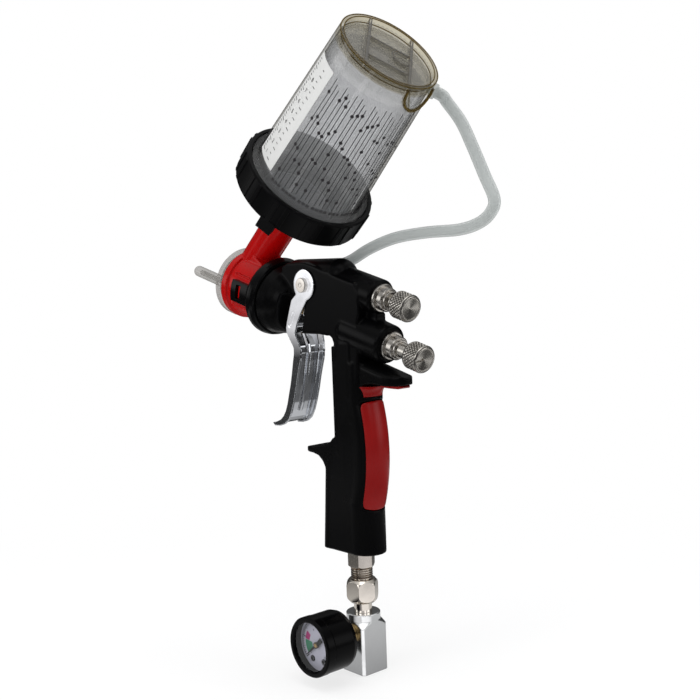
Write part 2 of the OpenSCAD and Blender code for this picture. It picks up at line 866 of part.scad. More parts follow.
// tapered pin that throttles the fan air, carried by the fan knob
module fan_needle() {
  color(steel)
    turned([
      [0, -24], [1.9, -24], [1.9, -4.8], [3.1, -4.8], [3.1, -2], [2.4, -2], [2.4, -0.8],
      [3.1, -0.8], [3.1, 1], [1.9, 1], [1.9, 13.6], [0.9, 18], [0, 18]
    ], fan_h);
}

// ---------- atomizing head ----------
module head_body() {
  color(red)
    difference() {
      union() {
        turned([
          [0, 64], [18.4, 64], [19, 65], [19, 84.3], [22.3, 84.3], [22.3, 109], [24.2, 109.6],
          [24.2, head_front - 0.1], [20.4, head_front - 0.1], [20.4, cap_s - 3], [0, cap_s - 3]
        ]);
        // paint inlet neck
        difference() {
          on_cup(6) cylinder(r = 12, h = 59.8);
          bar(head_front - 0.1, 150, 25.2);
        }
        // saddle under the neck
        barrel_side(-11.5, 11.5) polygon([[88, 10], [109.2, 10], [109.2, 24.4], [98, 24.4], [88, 21]]);
        // catch lugs in the tongue windows, and the foot
        for (m = [0, 1])
          mirror([0, m, 0])
            barrel(92.2, 0) translate([-4.4, 18, 0]) cube([8.8, 5.2, 3.6]);
        barrel(89, -21.5) translate([-2, -4, 0]) cube([4.4, 8, 9]);
      }
      // keep the neck out of the nose ring
      turned([[22.35, 70], [nose_r + 0.15, 70], [nose_r + 0.15, 84.2], [22.35, 84.2]]);
      // seat under each catch tongue
      for (m = [0, 1])
        mirror([0, m, 0])
          difference() {
            barrel(84.2, 0) translate([-7.7, 14, 0]) difference() {
              translate([0, 0, 0]) cube([15.4, 12, 18.1]);
            }
            bar(80, 110, 22.4);
            barrel(92.2, 0) translate([-4.4, 14, 0]) cube([8.8, 12, 3.6]);
          }
      // seal groove
      barrel(70, 0) ring(25, 17.2, 2.9);
      // air space around the paint tube
      difference() {
        bar(63, cap_s, 16.4);
        bar(60, cap_s - 3, 9.2);
        on_cup(0) cylinder(r = 8.5, h = 40);
      }
      // needle entry, paint chamber and nozzle seat
      bar(60, 95, needle_r + 0.1);
      bar(92, cap_s, 5);
      bar(110, cap_s, 6.5);
      barrel(101, 0) rotate([0, -86, 0]) cylinder(r = 3.4, h = 19);
      on_cup(21) cylinder(r = 3.4, h = 30);
      on_cup(46) cylinder(r = 9.3, h = 30);
      // side slots beside the tongues
      for (h = [-10.6, 10.6])
        for (m = [0, 1])
          mirror([0, m, 0])
            barrel(86, h) translate([-0.8, 18.2, 0]) cube([1.6, 10, 20]);
    }
}

module head_oring() {
  color(black)
    barrel(71.45, 0) rotate_extrude() translate([18.1, 0]) circle(r = 0.85, $fn = 24);
}

module fluid_nozzle() {
  color(steel)
    difference() {
      turned([
        [0, 111], [6.4, 111], [6.4, 118.65], [7.6, 118.65], [7.6, 120], [3, 122.6], [1.6, 125], [0, 125]
      ]);
      turned([[0, 110], [4, 110], [4, 112], [0.8, 121.6], [0.75, 121.7], [0.75, 126], [0, 126]]);
    }
}

module air_cap() {
  color(clear)
    difference() {
      union() {
        turned([
          [20.5, head_front], [cap_r - 0.6, head_front], [cap_r, head_front + 0.6], [cap_r, cap_s - 0.7],
          [cap_r - 0.7, cap_s], [12, cap_s + 2.4], [8, cap_s + 4.4], [0, cap_s + 4.4], [0, cap_s - 0.4],
          [20.5, cap_s - 0.4]
        ]);
        for (y = [-horn_y, horn_y]) {
          bar(cap_s - 0.2, horn_s - 3.9, 3.9, 0, y);
          barrel(horn_s - 3.9, 0, y) sphere(r = 3.9);
        }
      }
      turned([[0, 110], [14, 110], [14, cap_s], [5, cap_s + 2.2], [2.1, cap_s + 2.8], [2.1, 130], [0, 130]]);
      // horn air ways and their jets
      for (y = [-horn_y, horn_y])
        bar(cap_s - 2, horn_s - 7, 1.7, 0, y);
      for (m = [0, 1])
        mirror([0, m, 0])
          for (s = [horn_s - 14, horn_s - 9])
            barrel(s, 0, horn_y) rotate([60, 0, 0]) cylinder(r = 0.8, h = 6);
    }
}

// ---------- cup ----------
module cup_turned(points) {
  on_cup() rotate_extrude() polygon(points);
}

module cup_collar() {
  ribs = 36;
  color(black)
    difference() {
      union() {
        cup_turned([
          [30, 86], [44.6, 86], [collar_r - 0.6, 87.4], [collar_r - 0.6, 104.6],
          [collar_r - 1.2, 106], [43.2, 106], [43.2, 88.6], [30, 88.6]
        ]);
        // grip ribs in groups of two
        for (k = [0 : ribs - 1])
          if (k % 3 != 2)
            on_cup(88, 360 * k / ribs)
              translate([collar_r - 1.4, -1.5, 0]) cube([1.4, 3, 16.5]);
        // two lugs for unscrewing
        for (a = [121, 301])
          on_cup(79.6, a) translate([40.4, -5.5, 0]) cube([collar_r - 40.6, 11, 9]);
      }
      for (a = [121, 301])
        on_cup(79, a) translate([38, -3.2, 0]) cube([5.2, 6.4, 6.6]);
    }
}

module cup_lid() {
  color([0.1, 0.1, 0.1])
    cup_turned([
      [7.4, 49], [9.2, 49], [9.2, 66], [12, 68.5], [28, 81], [29.5, 88.7], [42.7, 88.7],
      [42.7, 91], [27.4, 91], [26.4, 82.6], [10.4, 70], [7.4, 67]
    ]);
}

// strainer disc in the lid
module cup_filter() {
  mesh = 5;
  color(white)
    on_cup(83.2)
      difference() {
        cylinder(r = 26.2, h = 0.9);
        for (x = [-3 : 3])
          for (y = [-3 : 3])
            if (norm([x, y]) * (mesh + 1.6) < 22)
              translate([x * (mesh + 1.6), y * (mesh + 1.6), -1]) cylinder(r = mesh / 2, h = 3, $fn = 24);
      }
}

module cup_liner() {
  t1 = 198;
  off = cup_wall + 1.1;
  color([0.85, 0.87, 0.88, 0.4])
    cup_turned([
      [42.4, 91.1], [42.4, 91.9], [cup_wall_r(100) - off, 93], [cup_wall_r(t1) - off, t1],
      [0, t1], [0, t1 - 0.7], [cup_wall_r(t1) - off - 0.7, t1 - 0.7], [cup_wall_r(100) - off - 0.7, 91.1]
    ]);
}

module hard_cup() {
  end_t = cup_t1 - 4.5;
  color(clear)
    difference() {
      union() {
        cup_turned([
          [41.2, 92.2], [42.9, 92.2], [42.9, 105.6], [42.3, 106.3], [cup_wall_r(107), 106.3],
          [cup_r1, cup_t1], [cup_r1 - 2.4, cup_t1], [cup_r1 - 2.7, end_t], [0, end_t],
          [0, end_t - cup_wall], [cup_wall_r(end_t) - cup_wall, end_t - cup_wall],
          [cup_wall_r(105) - cup_wall, 104.6], [41.2, 104.6]
        ]);
        // two ribs across the closed end and the pocket walls between them
        intersection() {
          on_cup(end_t - 0.5) cylinder(r = cup_r1 - 2.5, h = 4.7);
          union() {
            for (x = [-14.7, 14.7])
              on_cup(end_t - 0.5, 53.7) translate([x - 1, -40, 0]) cube([2, 80, 4.7]);
            for (y = [-8, 14])
              on_cup(end_t - 0.5, 53.7) translate([-14.7, y - 0.8, 0]) cube([29.4, 1.6, 3.6]);
          }
        }
        on_cup(end_t - 0.2) translate([-4, -9, 0]) ring(7.4, 5.6, 3);
        // looped tab standing on the wall beside the rim
        intersection() {
          cup_turned([
            [cup_r1 - 0.9, 194], [cup_r1 + 2.9, 194],
            [cup_r1 + 2.3, cup_t1 - 0.4], [cup_r1 - 0.9, cup_t1 - 0.4]
          ]);
          union() {
            on_cup(207, 187) rotate([0, 90, 0]) ring(12.4, 10.6, 50);
            on_cup(207, 187)
              rotate([0, 90, 0])
                linear_extrude(50)
                  polygon([[-4, -13.6], [11.2, -5], [10.6, -3.2], [-4, -11.6]]);
          }
          on_cup(0, 187) translate([0, -13, 190]) cube([60, 26, 30]);
        }
      }
      // hole for the pressure port
      on_cup(hose_t, hose_phi) rotate([0, 90, 0]) translate([0, 0, 28]) cylinder(r = 3, h = 20);
      on_cup(end_t - 5) translate([-4, -9, 0]) cylinder(r = 2.5, h = 9);
    }
}

// printed mixing guide held between the liner and the cup
module mix_sheet() {
  color([0.95, 0.95, 0.95, 0.5])
    cup_turned([
      [cup_wall_r(108) - cup_wall - 0.4, 108], [cup_wall_r(108) - cup_wall - 0.15, 108],
      [cup_wall_r(194) - cup_wall - 0.15, 194], [cup_wall_r(194) - cup_wall - 0.4, 194]
    ]);
}

// paper label on the outside of the cup
module cup_label() {
  color(white)
    on_cup(0, 60)
      rotate_extrude(angle = 34)
        polygon([
          [cup_wall_r(112) + 0.02, 112], [cup_wall_r(112) + 0.2, 112],
          [cup_wall_r(192) + 0.2, 192], [cup_wall_r(192) + 0.02, 192]
        ]);
}

module cup_port() {
  color(white)
    on_cup(hose_t, hose_phi)
      rotate([0, 90, 0])
        rotate_extrude()
          polygon([
            [1.3, 32.3], [2.95, 32.3], [2.95, 34.8], [5, 34.8], [5, 37.6], [2.3, 37.6], [2.3, 41.8],
            [2, 43], [1.3, 43]
          ]);
}

// ---------- hose ----------
module hose() {
  marks = [
    cup_pt(hose_t, 37.8, hose_phi), cup_pt(hose_t, 43, hose_phi), cup_pt(hose_t - 2, 47, hose_phi),
    [-61, -41.5, 353], [-69.5, -41.5, 338], [-79.5, -41, 319], [-89.5, -38, 304],
    [-88, -36.5, 296], [-80, -35, 290], [-66, -32, 286.4],
    [-41, -28, 285.6], [-17, -24, 283], [4, -21.4, 277], [20, -20, 270.2],
    [28.5, -19.2, 267.6], [32, -19, 267.15], [35.6, -19, 267.1]
  ];
  color([0.85, 0.86, 0.86, 0.7])
    tube_skin(smooth_path(marks, 4), hose_r, hose_bore, 16, [0, 1, 0]);
}

// push-on elbow on the far side of the body
module hose_elbow() {
  p = bp(elbow_s, elbow_h, 0);
  color(nickel)
    difference() {
      union() {
        translate([p.x, -19, p.z]) rotate([-90, 0, 0]) cylinder(r = 2.5, h = 14);
        translate([p.x, -15.6, p.z]) rotate([-90, 0, 0]) cylinder(r = 3.2, h = 15.6 - cheek_y - gap);
        translate([p.x, -19, p.z]) sphere(r = 3.4);
        translate([31.5, -19, 267.1]) rotate([0, 90, 0]) cylinder(r = 2.3, h = p.x - 31.5);
      }
      translate([p.x, -19, p.z]) rotate([-90, 0, 0]) cylinder(r = 1.2, h = 16);
      translate([25, -19, 267.1]) rotate([0, 90, 0]) cylinder(r = 1.2, h = p.x - 25);
    }
}

gun_body();
nose_ring();
grip_pad();
grip_band();
tang_pad();
inlet_fitting();
swivel_nut();
swivel_tail();
gauge_block();
gauge_stem();
gauge_case();
gauge_bezel();
gauge_lens();
gauge_dial();
gauge_tube();
gauge_pointer();
trigger();
trigger_pin();
pin_clip();
needle();
needle_spring();
needle_seal();
valve_sleeve();
valve_seat();
valve_spring();
valve_guide();
fluid_bush();
fluid_knob();
spring_guide();
fan_bush();
fan_knob();
fan_needle();
head_body();
head_oring();
fluid_nozzle();
air_cap();
cup_collar();
cup_lid();
cup_filter();
cup_liner();
hard_cup();
mix_sheet();
cup_label();
cup_port();
hose();
hose_elbow();
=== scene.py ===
import math

import bmesh
import bpy
from mathutils import Matrix, Vector


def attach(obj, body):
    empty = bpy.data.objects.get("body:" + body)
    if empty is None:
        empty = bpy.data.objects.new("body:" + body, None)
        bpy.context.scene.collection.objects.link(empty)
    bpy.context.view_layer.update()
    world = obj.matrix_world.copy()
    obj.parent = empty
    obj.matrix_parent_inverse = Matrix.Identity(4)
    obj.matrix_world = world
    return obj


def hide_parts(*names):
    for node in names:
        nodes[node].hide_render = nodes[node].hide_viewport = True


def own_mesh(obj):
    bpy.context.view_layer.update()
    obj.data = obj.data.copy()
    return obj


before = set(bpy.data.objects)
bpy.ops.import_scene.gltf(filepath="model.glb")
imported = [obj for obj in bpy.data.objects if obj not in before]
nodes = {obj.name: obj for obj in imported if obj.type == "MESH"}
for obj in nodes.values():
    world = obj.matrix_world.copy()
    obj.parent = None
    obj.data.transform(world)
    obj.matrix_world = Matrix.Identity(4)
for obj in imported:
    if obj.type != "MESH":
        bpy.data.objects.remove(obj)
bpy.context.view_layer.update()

# ------------------------------------------------------------------ frame numbers, in metres
MM = 0.001
PITCH = math.radians(15)
LEAN = math.radians(49)
BARREL_Z = 225.8
FWD = Vector((math.cos(PITCH), 0, math.sin(PITCH)))
NRM = Vector((-math.sin(PITCH), 0, math.cos(PITCH)))
SIDE = Vector((0, 1, 0))
UP = Vector((0, 0, 1))
TRIGGER_PIVOT = (39.5, 19.2)  # along and above the barrel axis
FAN_HEIGHT = 26.9  # fan knob above the barrel axis
CUP_SEAT = 119.9  # cup axis start along the barrel
GAUGE_Z = 26.5


def bp(s, h, y=0.0):
    """A point at s along the barrel, h above its axis and y to the gauge side, all in mm."""
    return (FWD * s + NRM * h + Vector((0, y, BARREL_Z))) * MM


CUP_O = bp(CUP_SEAT, 0)
CUP_UP = Vector((-math.sin(LEAN), 0, math.cos(LEAN)))
CUP_FRONT = Vector((math.cos(LEAN), 0, math.sin(LEAN)))


def cup_pt(t, r, phi):
    """A point t mm up the cup, r mm from its axis, at angle phi degrees from its front."""
    a = math.radians(phi)
    return CUP_O + (CUP_UP * t + CUP_FRONT * (r * math.cos(a)) + SIDE * (r * math.sin(a))) * MM


def cup_wall_r(t):
    """Outer radius of the tapered cup wall, mm."""
    return 38.9 - (t - 106) * 5.0 / 104.7


def axes(x, z, origin):
    """Matrix with local x and z along two square directions."""
    y = z.cross(x)
    m = Matrix((x, y, z)).transposed().to_4x4()
    m.translation = origin
    return m


BARREL = axes(-NRM, FWD, bp(0, 0))
CUP = axes(CUP_FRONT, CUP_UP, CUP_O)
GAUGE = axes(Vector((1, 0, 0)), SIDE, UP * GAUGE_Z * MM)
PIVOT = axes(Vector((1, 0, 0)), SIDE, bp(*TRIGGER_PIVOT))

# ------------------------------------------------------------------ node material helpers


def link(tree, value, socket):
    if isinstance(value, bpy.types.NodeSocket):
        tree.links.new(value, socket)
    else:
        socket.default_value = value


def add(tree, kind, props=None, **inputs):
    """A node with properties set and inputs linked or filled; input names use _ for a space."""
    node = tree.nodes.new("ShaderNode" + kind)
    for key, value in (props or {}).items():
        setattr(node, key, value)
    for key, value in inputs.items():
        name = key.replace("_", " ")
        socket = node.inputs[int(key[1:])] if key[0] == "i" and key[1:].isdigit() else node.inputs[name]
        link(tree, value, socket)
    return node


def math_node(tree, op, a, b=0.0, clamp=False):
    return add(tree, "Math", {"operation": op, "use_clamp": clamp}, i0=a, i1=b).outputs[0]


def ramp(tree, value, stops, interpolation="LINEAR"):
    node = tree.nodes.new("ShaderNodeValToRGB")
    node.color_ramp.interpolation = interpolation
    ends = node.color_ramp.elements
    while len(ends) < len(stops):
        ends.new(0.5)
    for element, (at, colour) in zip(ends, stops):
        element.position = at
        element.color = tuple(colour) + (1,) if len(colour) == 3 else colour
    tree.links.new(value, node.inputs[0])
    return node.outputs[0]


def grey(v):
    return (v, v, v)


def mix_rgb(tree, fac, a, b):
    node = tree.nodes.new("ShaderNodeMix")
    node.data_type = "RGBA"
    link(tree, fac, node.inputs[0])
    link(tree, a if isinstance(a, bpy.types.NodeSocket) else tuple(a) + (1,), node.inputs[6])
    link(tree, b if isinstance(b, bpy.types.NodeSocket) else tuple(b) + (1,), node.inputs[7])
    return node.outputs[2]


def noise(tree, coord, scale, detail=3.0, rough=0.5):
    return add(
        tree, "TexNoise", Vector=coord, Scale=scale, Detail=detail, Roughness=rough
    ).outputs["Fac"]


def new_material(name):
    m = bpy.data.materials.new(name)
    m.use_nodes = True
    m.node_tree.nodes.clear()
    return m, m.node_tree


def close(tree, shader):
    out = tree.nodes.new("ShaderNodeOutputMaterial")
    tree.links.new(shader, out.inputs[0])


def soft_edges(tree, radius):
    return add(tree, "Bevel", {"samples": 6}, Radius=radius).outputs[0]


def plastic(name, colour, rough=0.4, grain=1800.0, depth=0.00002, edge=0.0005, coat=0.0,
            spread=0.25, specular=0.5, wear=0.35):
    """Moulded plastic or rubber: fine grain, slow tone changes, rubbed edges."""
    m, t = new_material(name)
    coord = add(t, "TexCoord").outputs["Object"]
    slow = noise(t, coord, 45.0, 4.0, 0.6)
    fine = noise(t, coord, grain, 3.0, 0.6)
    dark = [c * (1 - spread) for c in colour]
    light = [min(1, c * (1 + spread)) for c in colour]
    base = mix_rgb(t, slow, dark, light)
    bevel = soft_edges(t, edge)
    flat = add(t, "NewGeometry").outputs["Normal"]
    turn = add(t, "VectorMath", {"operation": "DOT_PRODUCT"}, i0=bevel, i1=flat).outputs["Value"]
    rubbed = ramp(t, turn, [(0.80, grey(1)), (0.985, grey(0))])
    patchy = math_node(t, "MULTIPLY", rubbed, math_node(t, "MULTIPLY", slow, wear))
    base = mix_rgb(t, patchy, base, [min(1, c * 1.6 + 0.05) for c in colour])
    spots = math_node(t, "MULTIPLY_ADD", slow, 0.16)
    spots.node.inputs[2].default_value = rough - 0.08
    bump = add(t, "Bump", Strength=0.5, Distance=depth, Height=fine, Normal=bevel).outputs[0]
    b = add(t, "BsdfPrincipled", Base_Color=base, Roughness=spots, Normal=bump)
    b.inputs["Specular IOR Level"].default_value = specular
    b.inputs["Coat Weight"].default_value = coat
    b.inputs["Coat Roughness"].default_value = 0.06
    close(t, b.outputs[0])
    return m


def metal(name, colour, rough=0.18, grain=900.0, depth=0.000006, edge=0.0003, aniso=0.0,
          centre=None, axis=None, tint=0.06, lift=None, height=None, groove=None):
    """Plated or polished metal. With a centre and axis, its fine lines run round that axis.

    lift is (direction, colour, low, high): a painted reflection, an emission in that colour on faces
    turned that way, as if a bright panel were mirrored there; it fades in between the heights low and
    high. height is painted shade: it darkens the metal towards Z = 0, and is where it reaches its full
    tone. groove is the radius of a knurl's tops: below them painted shade makes it darker.
    """
    m, t = new_material(name)
    coord = add(t, "TexCoord").outputs["Object"]
    slow = noise(t, coord, 70.0, 3.0, 0.5)
    fine = noise(t, coord, grain, 2.0, 0.5)
    dark = [c * (1 - tint) for c in colour]
    light = [min(1, c * (1 + tint)) for c in colour]
    base = mix_rgb(t, slow, dark, light)
    # painted shade: the metal darkens towards Z = 0, down to 0.55 of its tone
    if height:
        z = math_node(t, "DIVIDE", add(t, "SeparateXYZ", Vector=coord).outputs[2], height)
        shade = ramp(t, z, [(0.0, grey(0.55)), (1.0, grey(1.0))])
        base = add(t, "MixRGB", {"blend_type": "MULTIPLY"}, Fac=1.0, Color1=base, Color2=shade).outputs[0]
    # painted shade: darker in the knurl's valleys, just below the radius of its tops
    if groove:
        arm = add(t, "VectorMath", {"operation": "SUBTRACT"}, i0=coord, i1=tuple(centre)).outputs[0]
        off = add(t, "VectorMath", {"operation": "CROSS_PRODUCT"}, i0=tuple(axis), i1=arm).outputs[0]
        r = add(t, "VectorMath", {"operation": "LENGTH"}, i0=off).outputs["Value"]
        r = math_node(t, "DIVIDE", r, groove)
        shade = ramp(t, r, [(0.90, grey(1.0)), (0.93, grey(0.4)), (0.965, grey(0.3)), (0.995, grey(1.0))])
        base = add(t, "MixRGB", {"blend_type": "MULTIPLY"}, Fac=1.0, Color1=base, Color2=shade).outputs[0]
    bevel = soft_edges(t, edge)
    bump = add(t, "Bump", Strength=0.35, Distance=depth, Height=fine, Normal=bevel).outputs[0]
    tone = math_node(t, "MULTIPLY_ADD", slow, rough * 0.5)
    tone.node.inputs[2].default_value = rough * 0.75
    b = add(t, "BsdfPrincipled", Base_Color=base, Metallic=1.0, Roughness=tone, Normal=bump)
    if axis is not None:
        arm = add(t, "VectorMath", {"operation": "SUBTRACT"}, i0=coord, i1=tuple(centre)).outputs[0]
        round_ = add(t, "VectorMath", {"operation": "CROSS_PRODUCT"}, i0=tuple(axis), i1=arm).outputs[0]
        world = add(
            t, "VectorTransform",
            {"vector_type": "VECTOR", "convert_from": "OBJECT", "convert_to": "WORLD"}, Vector=round_,
        ).outputs[0]
        line = add(t, "VectorMath", {"operation": "NORMALIZE"}, i0=world).outputs[0]
        t.links.new(line, b.inputs["Tangent"])
        b.inputs["Anisotropic"].default_value = aniso
    shader = b.outputs[0]
    # painted reflection: an emission added on faces turned towards the lift direction, patchy with the slow
    # noise
    if lift:
        facing = add(
            t, "VectorMath", {"operation": "DOT_PRODUCT"}, i0=bevel, i1=tuple(lift[0])
        ).outputs["Value"]
        share = ramp(t, facing, [(0.80, grey(0)), (0.97, grey(1))], "EASE")
        patchy = math_node(t, "MULTIPLY", share, math_node(t, "ADD", slow, 0.5))
        if len(lift) > 2:
            span = add(t, "MapRange", Value=add(t, "SeparateXYZ", Vector=coord).outputs[2], From_Min=lift[2],
                       From_Max=lift[3]).outputs[0]
            patchy = math_node(t, "MULTIPLY", patchy, span)
        painted_reflection = add(t, "Emission", Color=tuple(lift[1]) + (1,), Strength=patchy).outputs[0]
        shader = add(t, "AddShader", i0=shader, i1=painted_reflection).outputs[0]
    close(t, shader)
    return m


def clear(name, tint, edge_tint, rough=0.05, milk=0.0, milk_colour=(0.8, 0.82, 0.83),
          gloss=1.0, ripple=0.02, amber=None, painted_glow=0.0):
    """Thin clear or milky plastic, tinted more where it is seen edge on.

    amber is (tint, edge tint, milk) for the cup's thick end, its rim and its looped tab.
    """
    m, t = new_material(name)
    coord = add(t, "TexCoord").outputs["Object"]
    slow = noise(t, coord, 30.0, 3.0, 0.6)
    fine = noise(t, coord, 110.0, 2.0, 0.5)
    edge = math_node(t, "POWER", add(t, "LayerWeight", Blend=0.35).outputs["Facing"], 2.2)
    through = mix_rgb(t, edge, tint, edge_tint)
    share = math_node(t, "MULTIPLY_ADD", edge, 0.5 * milk, clamp=True)
    share.node.inputs[2].default_value = milk
    if amber:
        arm = add(t, "VectorMath", {"operation": "SUBTRACT"}, i0=coord, i1=tuple(CUP_O)).outputs[0]
        up = add(t, "VectorMath", {"operation": "DOT_PRODUCT"}, i0=arm, i1=tuple(CUP_UP)).outputs["Value"]
        off = add(t, "VectorMath", {"operation": "CROSS_PRODUCT"}, i0=arm, i1=tuple(CUP_UP)).outputs[0]
        r = add(t, "VectorMath", {"operation": "LENGTH"}, i0=off).outputs["Value"]
        end = math_node(t, "GREATER_THAN", up, 204.4 * MM)
        tab = math_node(t, "MULTIPLY", math_node(t, "GREATER_THAN", up, 190 * MM),
                        math_node(t, "GREATER_THAN", r, 34.95 * MM))
        where = math_node(t, "MAXIMUM", end, tab)
        warm = mix_rgb(t, edge, amber[0], amber[1])
        through = mix_rgb(t, where, through, warm)
        near_rim = math_node(t, "MULTIPLY", end, math_node(t, "LESS_THAN", r, 31.3 * MM))
        share = math_node(t, "MULTIPLY_ADD", near_rim, amber[2], clamp=True)
        share.node.inputs[2].default_value = milk
    tint_node = mix_rgb(t, math_node(t, "MULTIPLY", slow, 0.25), through, [c * 0.92 for c in tint])
    clear_ = add(t, "BsdfTransparent", Color=tint_node).outputs[0]
    bump = add(t, "Bump", Strength=ripple, Distance=0.0003, Height=fine).outputs[0]
    glossy = add(t, "BsdfGlossy", Color=(1, 1, 1, 1), Roughness=rough, Normal=bump).outputs[0]
    fresnel = add(t, "Fresnel", IOR=1.45, Normal=bump).outputs[0]
    outside = math_node(t, "SUBTRACT", gloss, add(t, "NewGeometry").outputs["Backfacing"], clamp=True)
    strength = math_node(t, "MULTIPLY", fresnel, outside, clamp=True)
    skin = add(t, "MixShader", i0=strength, i1=clear_, i2=glossy).outputs[0]
    if milk > 0 or amber:
        white = add(t, "BsdfDiffuse", Color=tuple(milk_colour) + (1,)).outputs[0]
        lit = add(t, "BsdfTranslucent", Color=tuple(milk_colour) + (1,)).outputs[0]
        soft = add(t, "MixShader", i0=0.5, i1=white, i2=lit).outputs[0]
        if painted_glow:
            # painted light: an added emission in the milk colour makes the milky film brighter
            inner = add(t, "Emission", Color=tuple(milk_colour) + (1,), Strength=painted_glow).outputs[0]
            soft = add(t, "AddShader", i0=soft, i1=inner).outputs[0]
        skin = add(t, "MixShader", i0=share, i1=skin, i2=soft).outputs[0]
    close(t, skin)
    return m


def paint(name, colour, rough=0.5, spread=0.12):
    """Printing ink or paper: slightly uneven."""
    m, t = new_material(name)
    coord = add(t, "TexCoord").outputs["Object"]
    slow = noise(t, coord, 220.0, 4.0, 0.7)
    dark = [c * (1 - spread) for c in colour]
    light = [min(1, c * (1 + spread)) for c in colour]
    b = add(t, "BsdfPrincipled", Base_Color=mix_rgb(t, slow, dark, light), Roughness=rough)
    close(t, b.outputs[0])
    return m


BLACK = plastic("body_black", (0.0012, 0.0012, 0.0014), rough=0.30, edge=0.0008, wear=0.06, specular=0.10)
NOSE = plastic("nose_black", (0.0012, 0.0012, 0.0014), rough=0.22, edge=0.0005, grain=2600, wear=0.06,
               specular=0.13)
COLLAR = plastic("collar_black", (0.0016, 0.0016, 0.0018), rough=0.34, edge=0.0005, wear=0.08, specular=0.12)
LID = plastic("lid_black", (0.02, 0.02, 0.022), rough=0.4)
PAD = plastic("grip_red", (0.21, 0.0015, 0.0015), rough=0.30, grain=2400, depth=0.00001, edge=0.0006,
              spread=0.2, wear=0.02, specular=0.26)
RED = plastic("head_red", (0.38, 0.0015, 0.0015), rough=0.2, grain=500, depth=0.000012, edge=0.0006,
              coat=0.08, spread=0.1, wear=0.04, specular=0.16)
GAUGE_BLACK = plastic("gauge_black", (0.0010, 0.0010, 0.0012), rough=0.22, grain=2600, edge=0.0004,
                      wear=0.05, specular=0.08)
WHITE = plastic("white_plastic", (0.78, 0.78, 0.76), rough=0.45, spread=0.06)
STRAINER = plastic("strainer_grey", (0.10, 0.105, 0.12), rough=0.5, spread=0.1)
# painted reflection: the pin's faces turned towards +Y, the gauge side, get an added emission
PIN = metal("pin_turned", (0.62, 0.60, 0.57), rough=0.35, lift=(SIDE, (0.50, 0.46, 0.42)))
RUBBER = plastic("seal_rubber", (0.02, 0.02, 0.02), rough=0.5)
# painted reflection: the trigger's faces turned towards +Y get an added emission, between object heights
# 0.206 and 0.226
CHROME = metal("chrome", (0.80, 0.82, 0.86), rough=0.10, lift=(SIDE, (0.56, 0.56, 0.58), 0.206, 0.226))
# painted reflection on faces turned towards -X and +Y, and painted shade that darkens the block towards Z =
# 0, at full tone from 0.040 up
BLOCK = metal("block_chrome", (0.84, 0.85, 0.86), rough=0.16, grain=75, depth=0.00022, edge=0.0011,
              lift=(Vector((-0.707, 0.707, 0)), (0.55, 0.55, 0.56)), height=0.040)
# painted reflection: the nickel's faces turned towards -X and a little +Y get an added emission
NICKEL = metal("nickel", (0.84, 0.78, 0.70), rough=0.14, grain=160, depth=0.00006,
               lift=(Vector((-0.866, 0.5, 0)), (0.36, 0.33, 0.31)))
# painted shade: the thread is a darker copy of the nickel, standing for shade in its grooves; its faces
# turned towards -X also get a painted reflection
THREAD = metal("nickel_thread", (0.36, 0.31, 0.26), rough=0.18, edge=0.0001,
               lift=(Vector((-0.94, 0.34, 0)), (0.40, 0.36, 0.32)))
STEEL = metal("steel", (0.60, 0.60, 0.62), rough=0.26, grain=1500)
BRASS = metal("brass", (0.62, 0.43, 0.19), rough=0.22)
FLUID_AXIS = metal("nickel_turned_fluid", (0.58, 0.55, 0.51), rough=0.20, aniso=0.85,
                   centre=bp(0, 0), axis=FWD)
FAN_AXIS = metal("nickel_turned_fan", (0.58, 0.55, 0.51), rough=0.20, aniso=0.85,
                 centre=bp(0, FAN_HEIGHT), axis=FWD)
# painted shade: darker in this knurl's valleys, below the radius of its tops
FLUID_KNURL = metal("nickel_knurl_fluid", (0.66, 0.63, 0.58), rough=0.20, aniso=0.85, edge=0.0001,
                    centre=bp(0, 0), axis=FWD, groove=8.8 * MM)
# painted shade: darker in this knurl's valleys, below the radius of its tops
FAN_KNURL = metal("nickel_knurl_fan", (0.66, 0.63, 0.58), rough=0.20, aniso=0.85, edge=0.0001,
                  centre=bp(0, FAN_HEIGHT), axis=FWD, groove=8.8 * MM)
CUP_CLEAR = clear("cup_clear", (0.955, 0.957, 0.955), (0.24, 0.225, 0.185), rough=0.05, milk=0.005,
                  milk_colour=(0.34, 0.345, 0.35),
                  amber=((0.74, 0.71, 0.62), (0.14, 0.10, 0.03), 0.30))
CAP_CLEAR = clear("cap_clear", (0.84, 0.83, 0.82), (0.40, 0.39, 0.38), rough=0.08, milk=0.34,
                  milk_colour=(0.44, 0.43, 0.41))
# painted light: the liner's milky film gets an added emission
LINER = clear("liner_clear", (0.93, 0.93, 0.935), (0.74, 0.75, 0.77), rough=0.3, milk=0.14,
              milk_colour=(0.74, 0.74, 0.74), gloss=0.2, painted_glow=0.11)
SHEET = clear("sheet_print", (0.985, 0.985, 0.99), (0.93, 0.93, 0.93), rough=0.3, milk=0.04, gloss=0.2)
LENS = clear("gauge_glass", (0.97, 0.972, 0.98), (0.8, 0.82, 0.84), rough=0.02)
AMBER = clear("cup_amber", (0.50, 0.42, 0.22), (0.16, 0.11, 0.03), rough=0.06, milk=0.35,
              milk_colour=(0.25, 0.18, 0.045))
HOSE = clear("hose_clear", (0.84, 0.85, 0.85), (0.60, 0.62, 0.62), rough=0.22, milk=0.5,
             milk_colour=(0.70, 0.72, 0.71), gloss=0.8)
DIAL = paint("dial_white", (0.52, 0.51, 0.58), rough=0.35, spread=0.05)
INK = paint("ink_black", (0.02, 0.018, 0.02), rough=0.6)
INK_GREEN = paint("ink_green", (0.04, 0.22, 0.12))
INK_MAGENTA = paint("ink_magenta", (0.42, 0.02, 0.16))
PAPER = paint("label_white", (0.64, 0.64, 0.63), rough=0.4, spread=0.04)
POINTER = plastic("pointer_black", (0.012, 0.012, 0.012), rough=0.5)

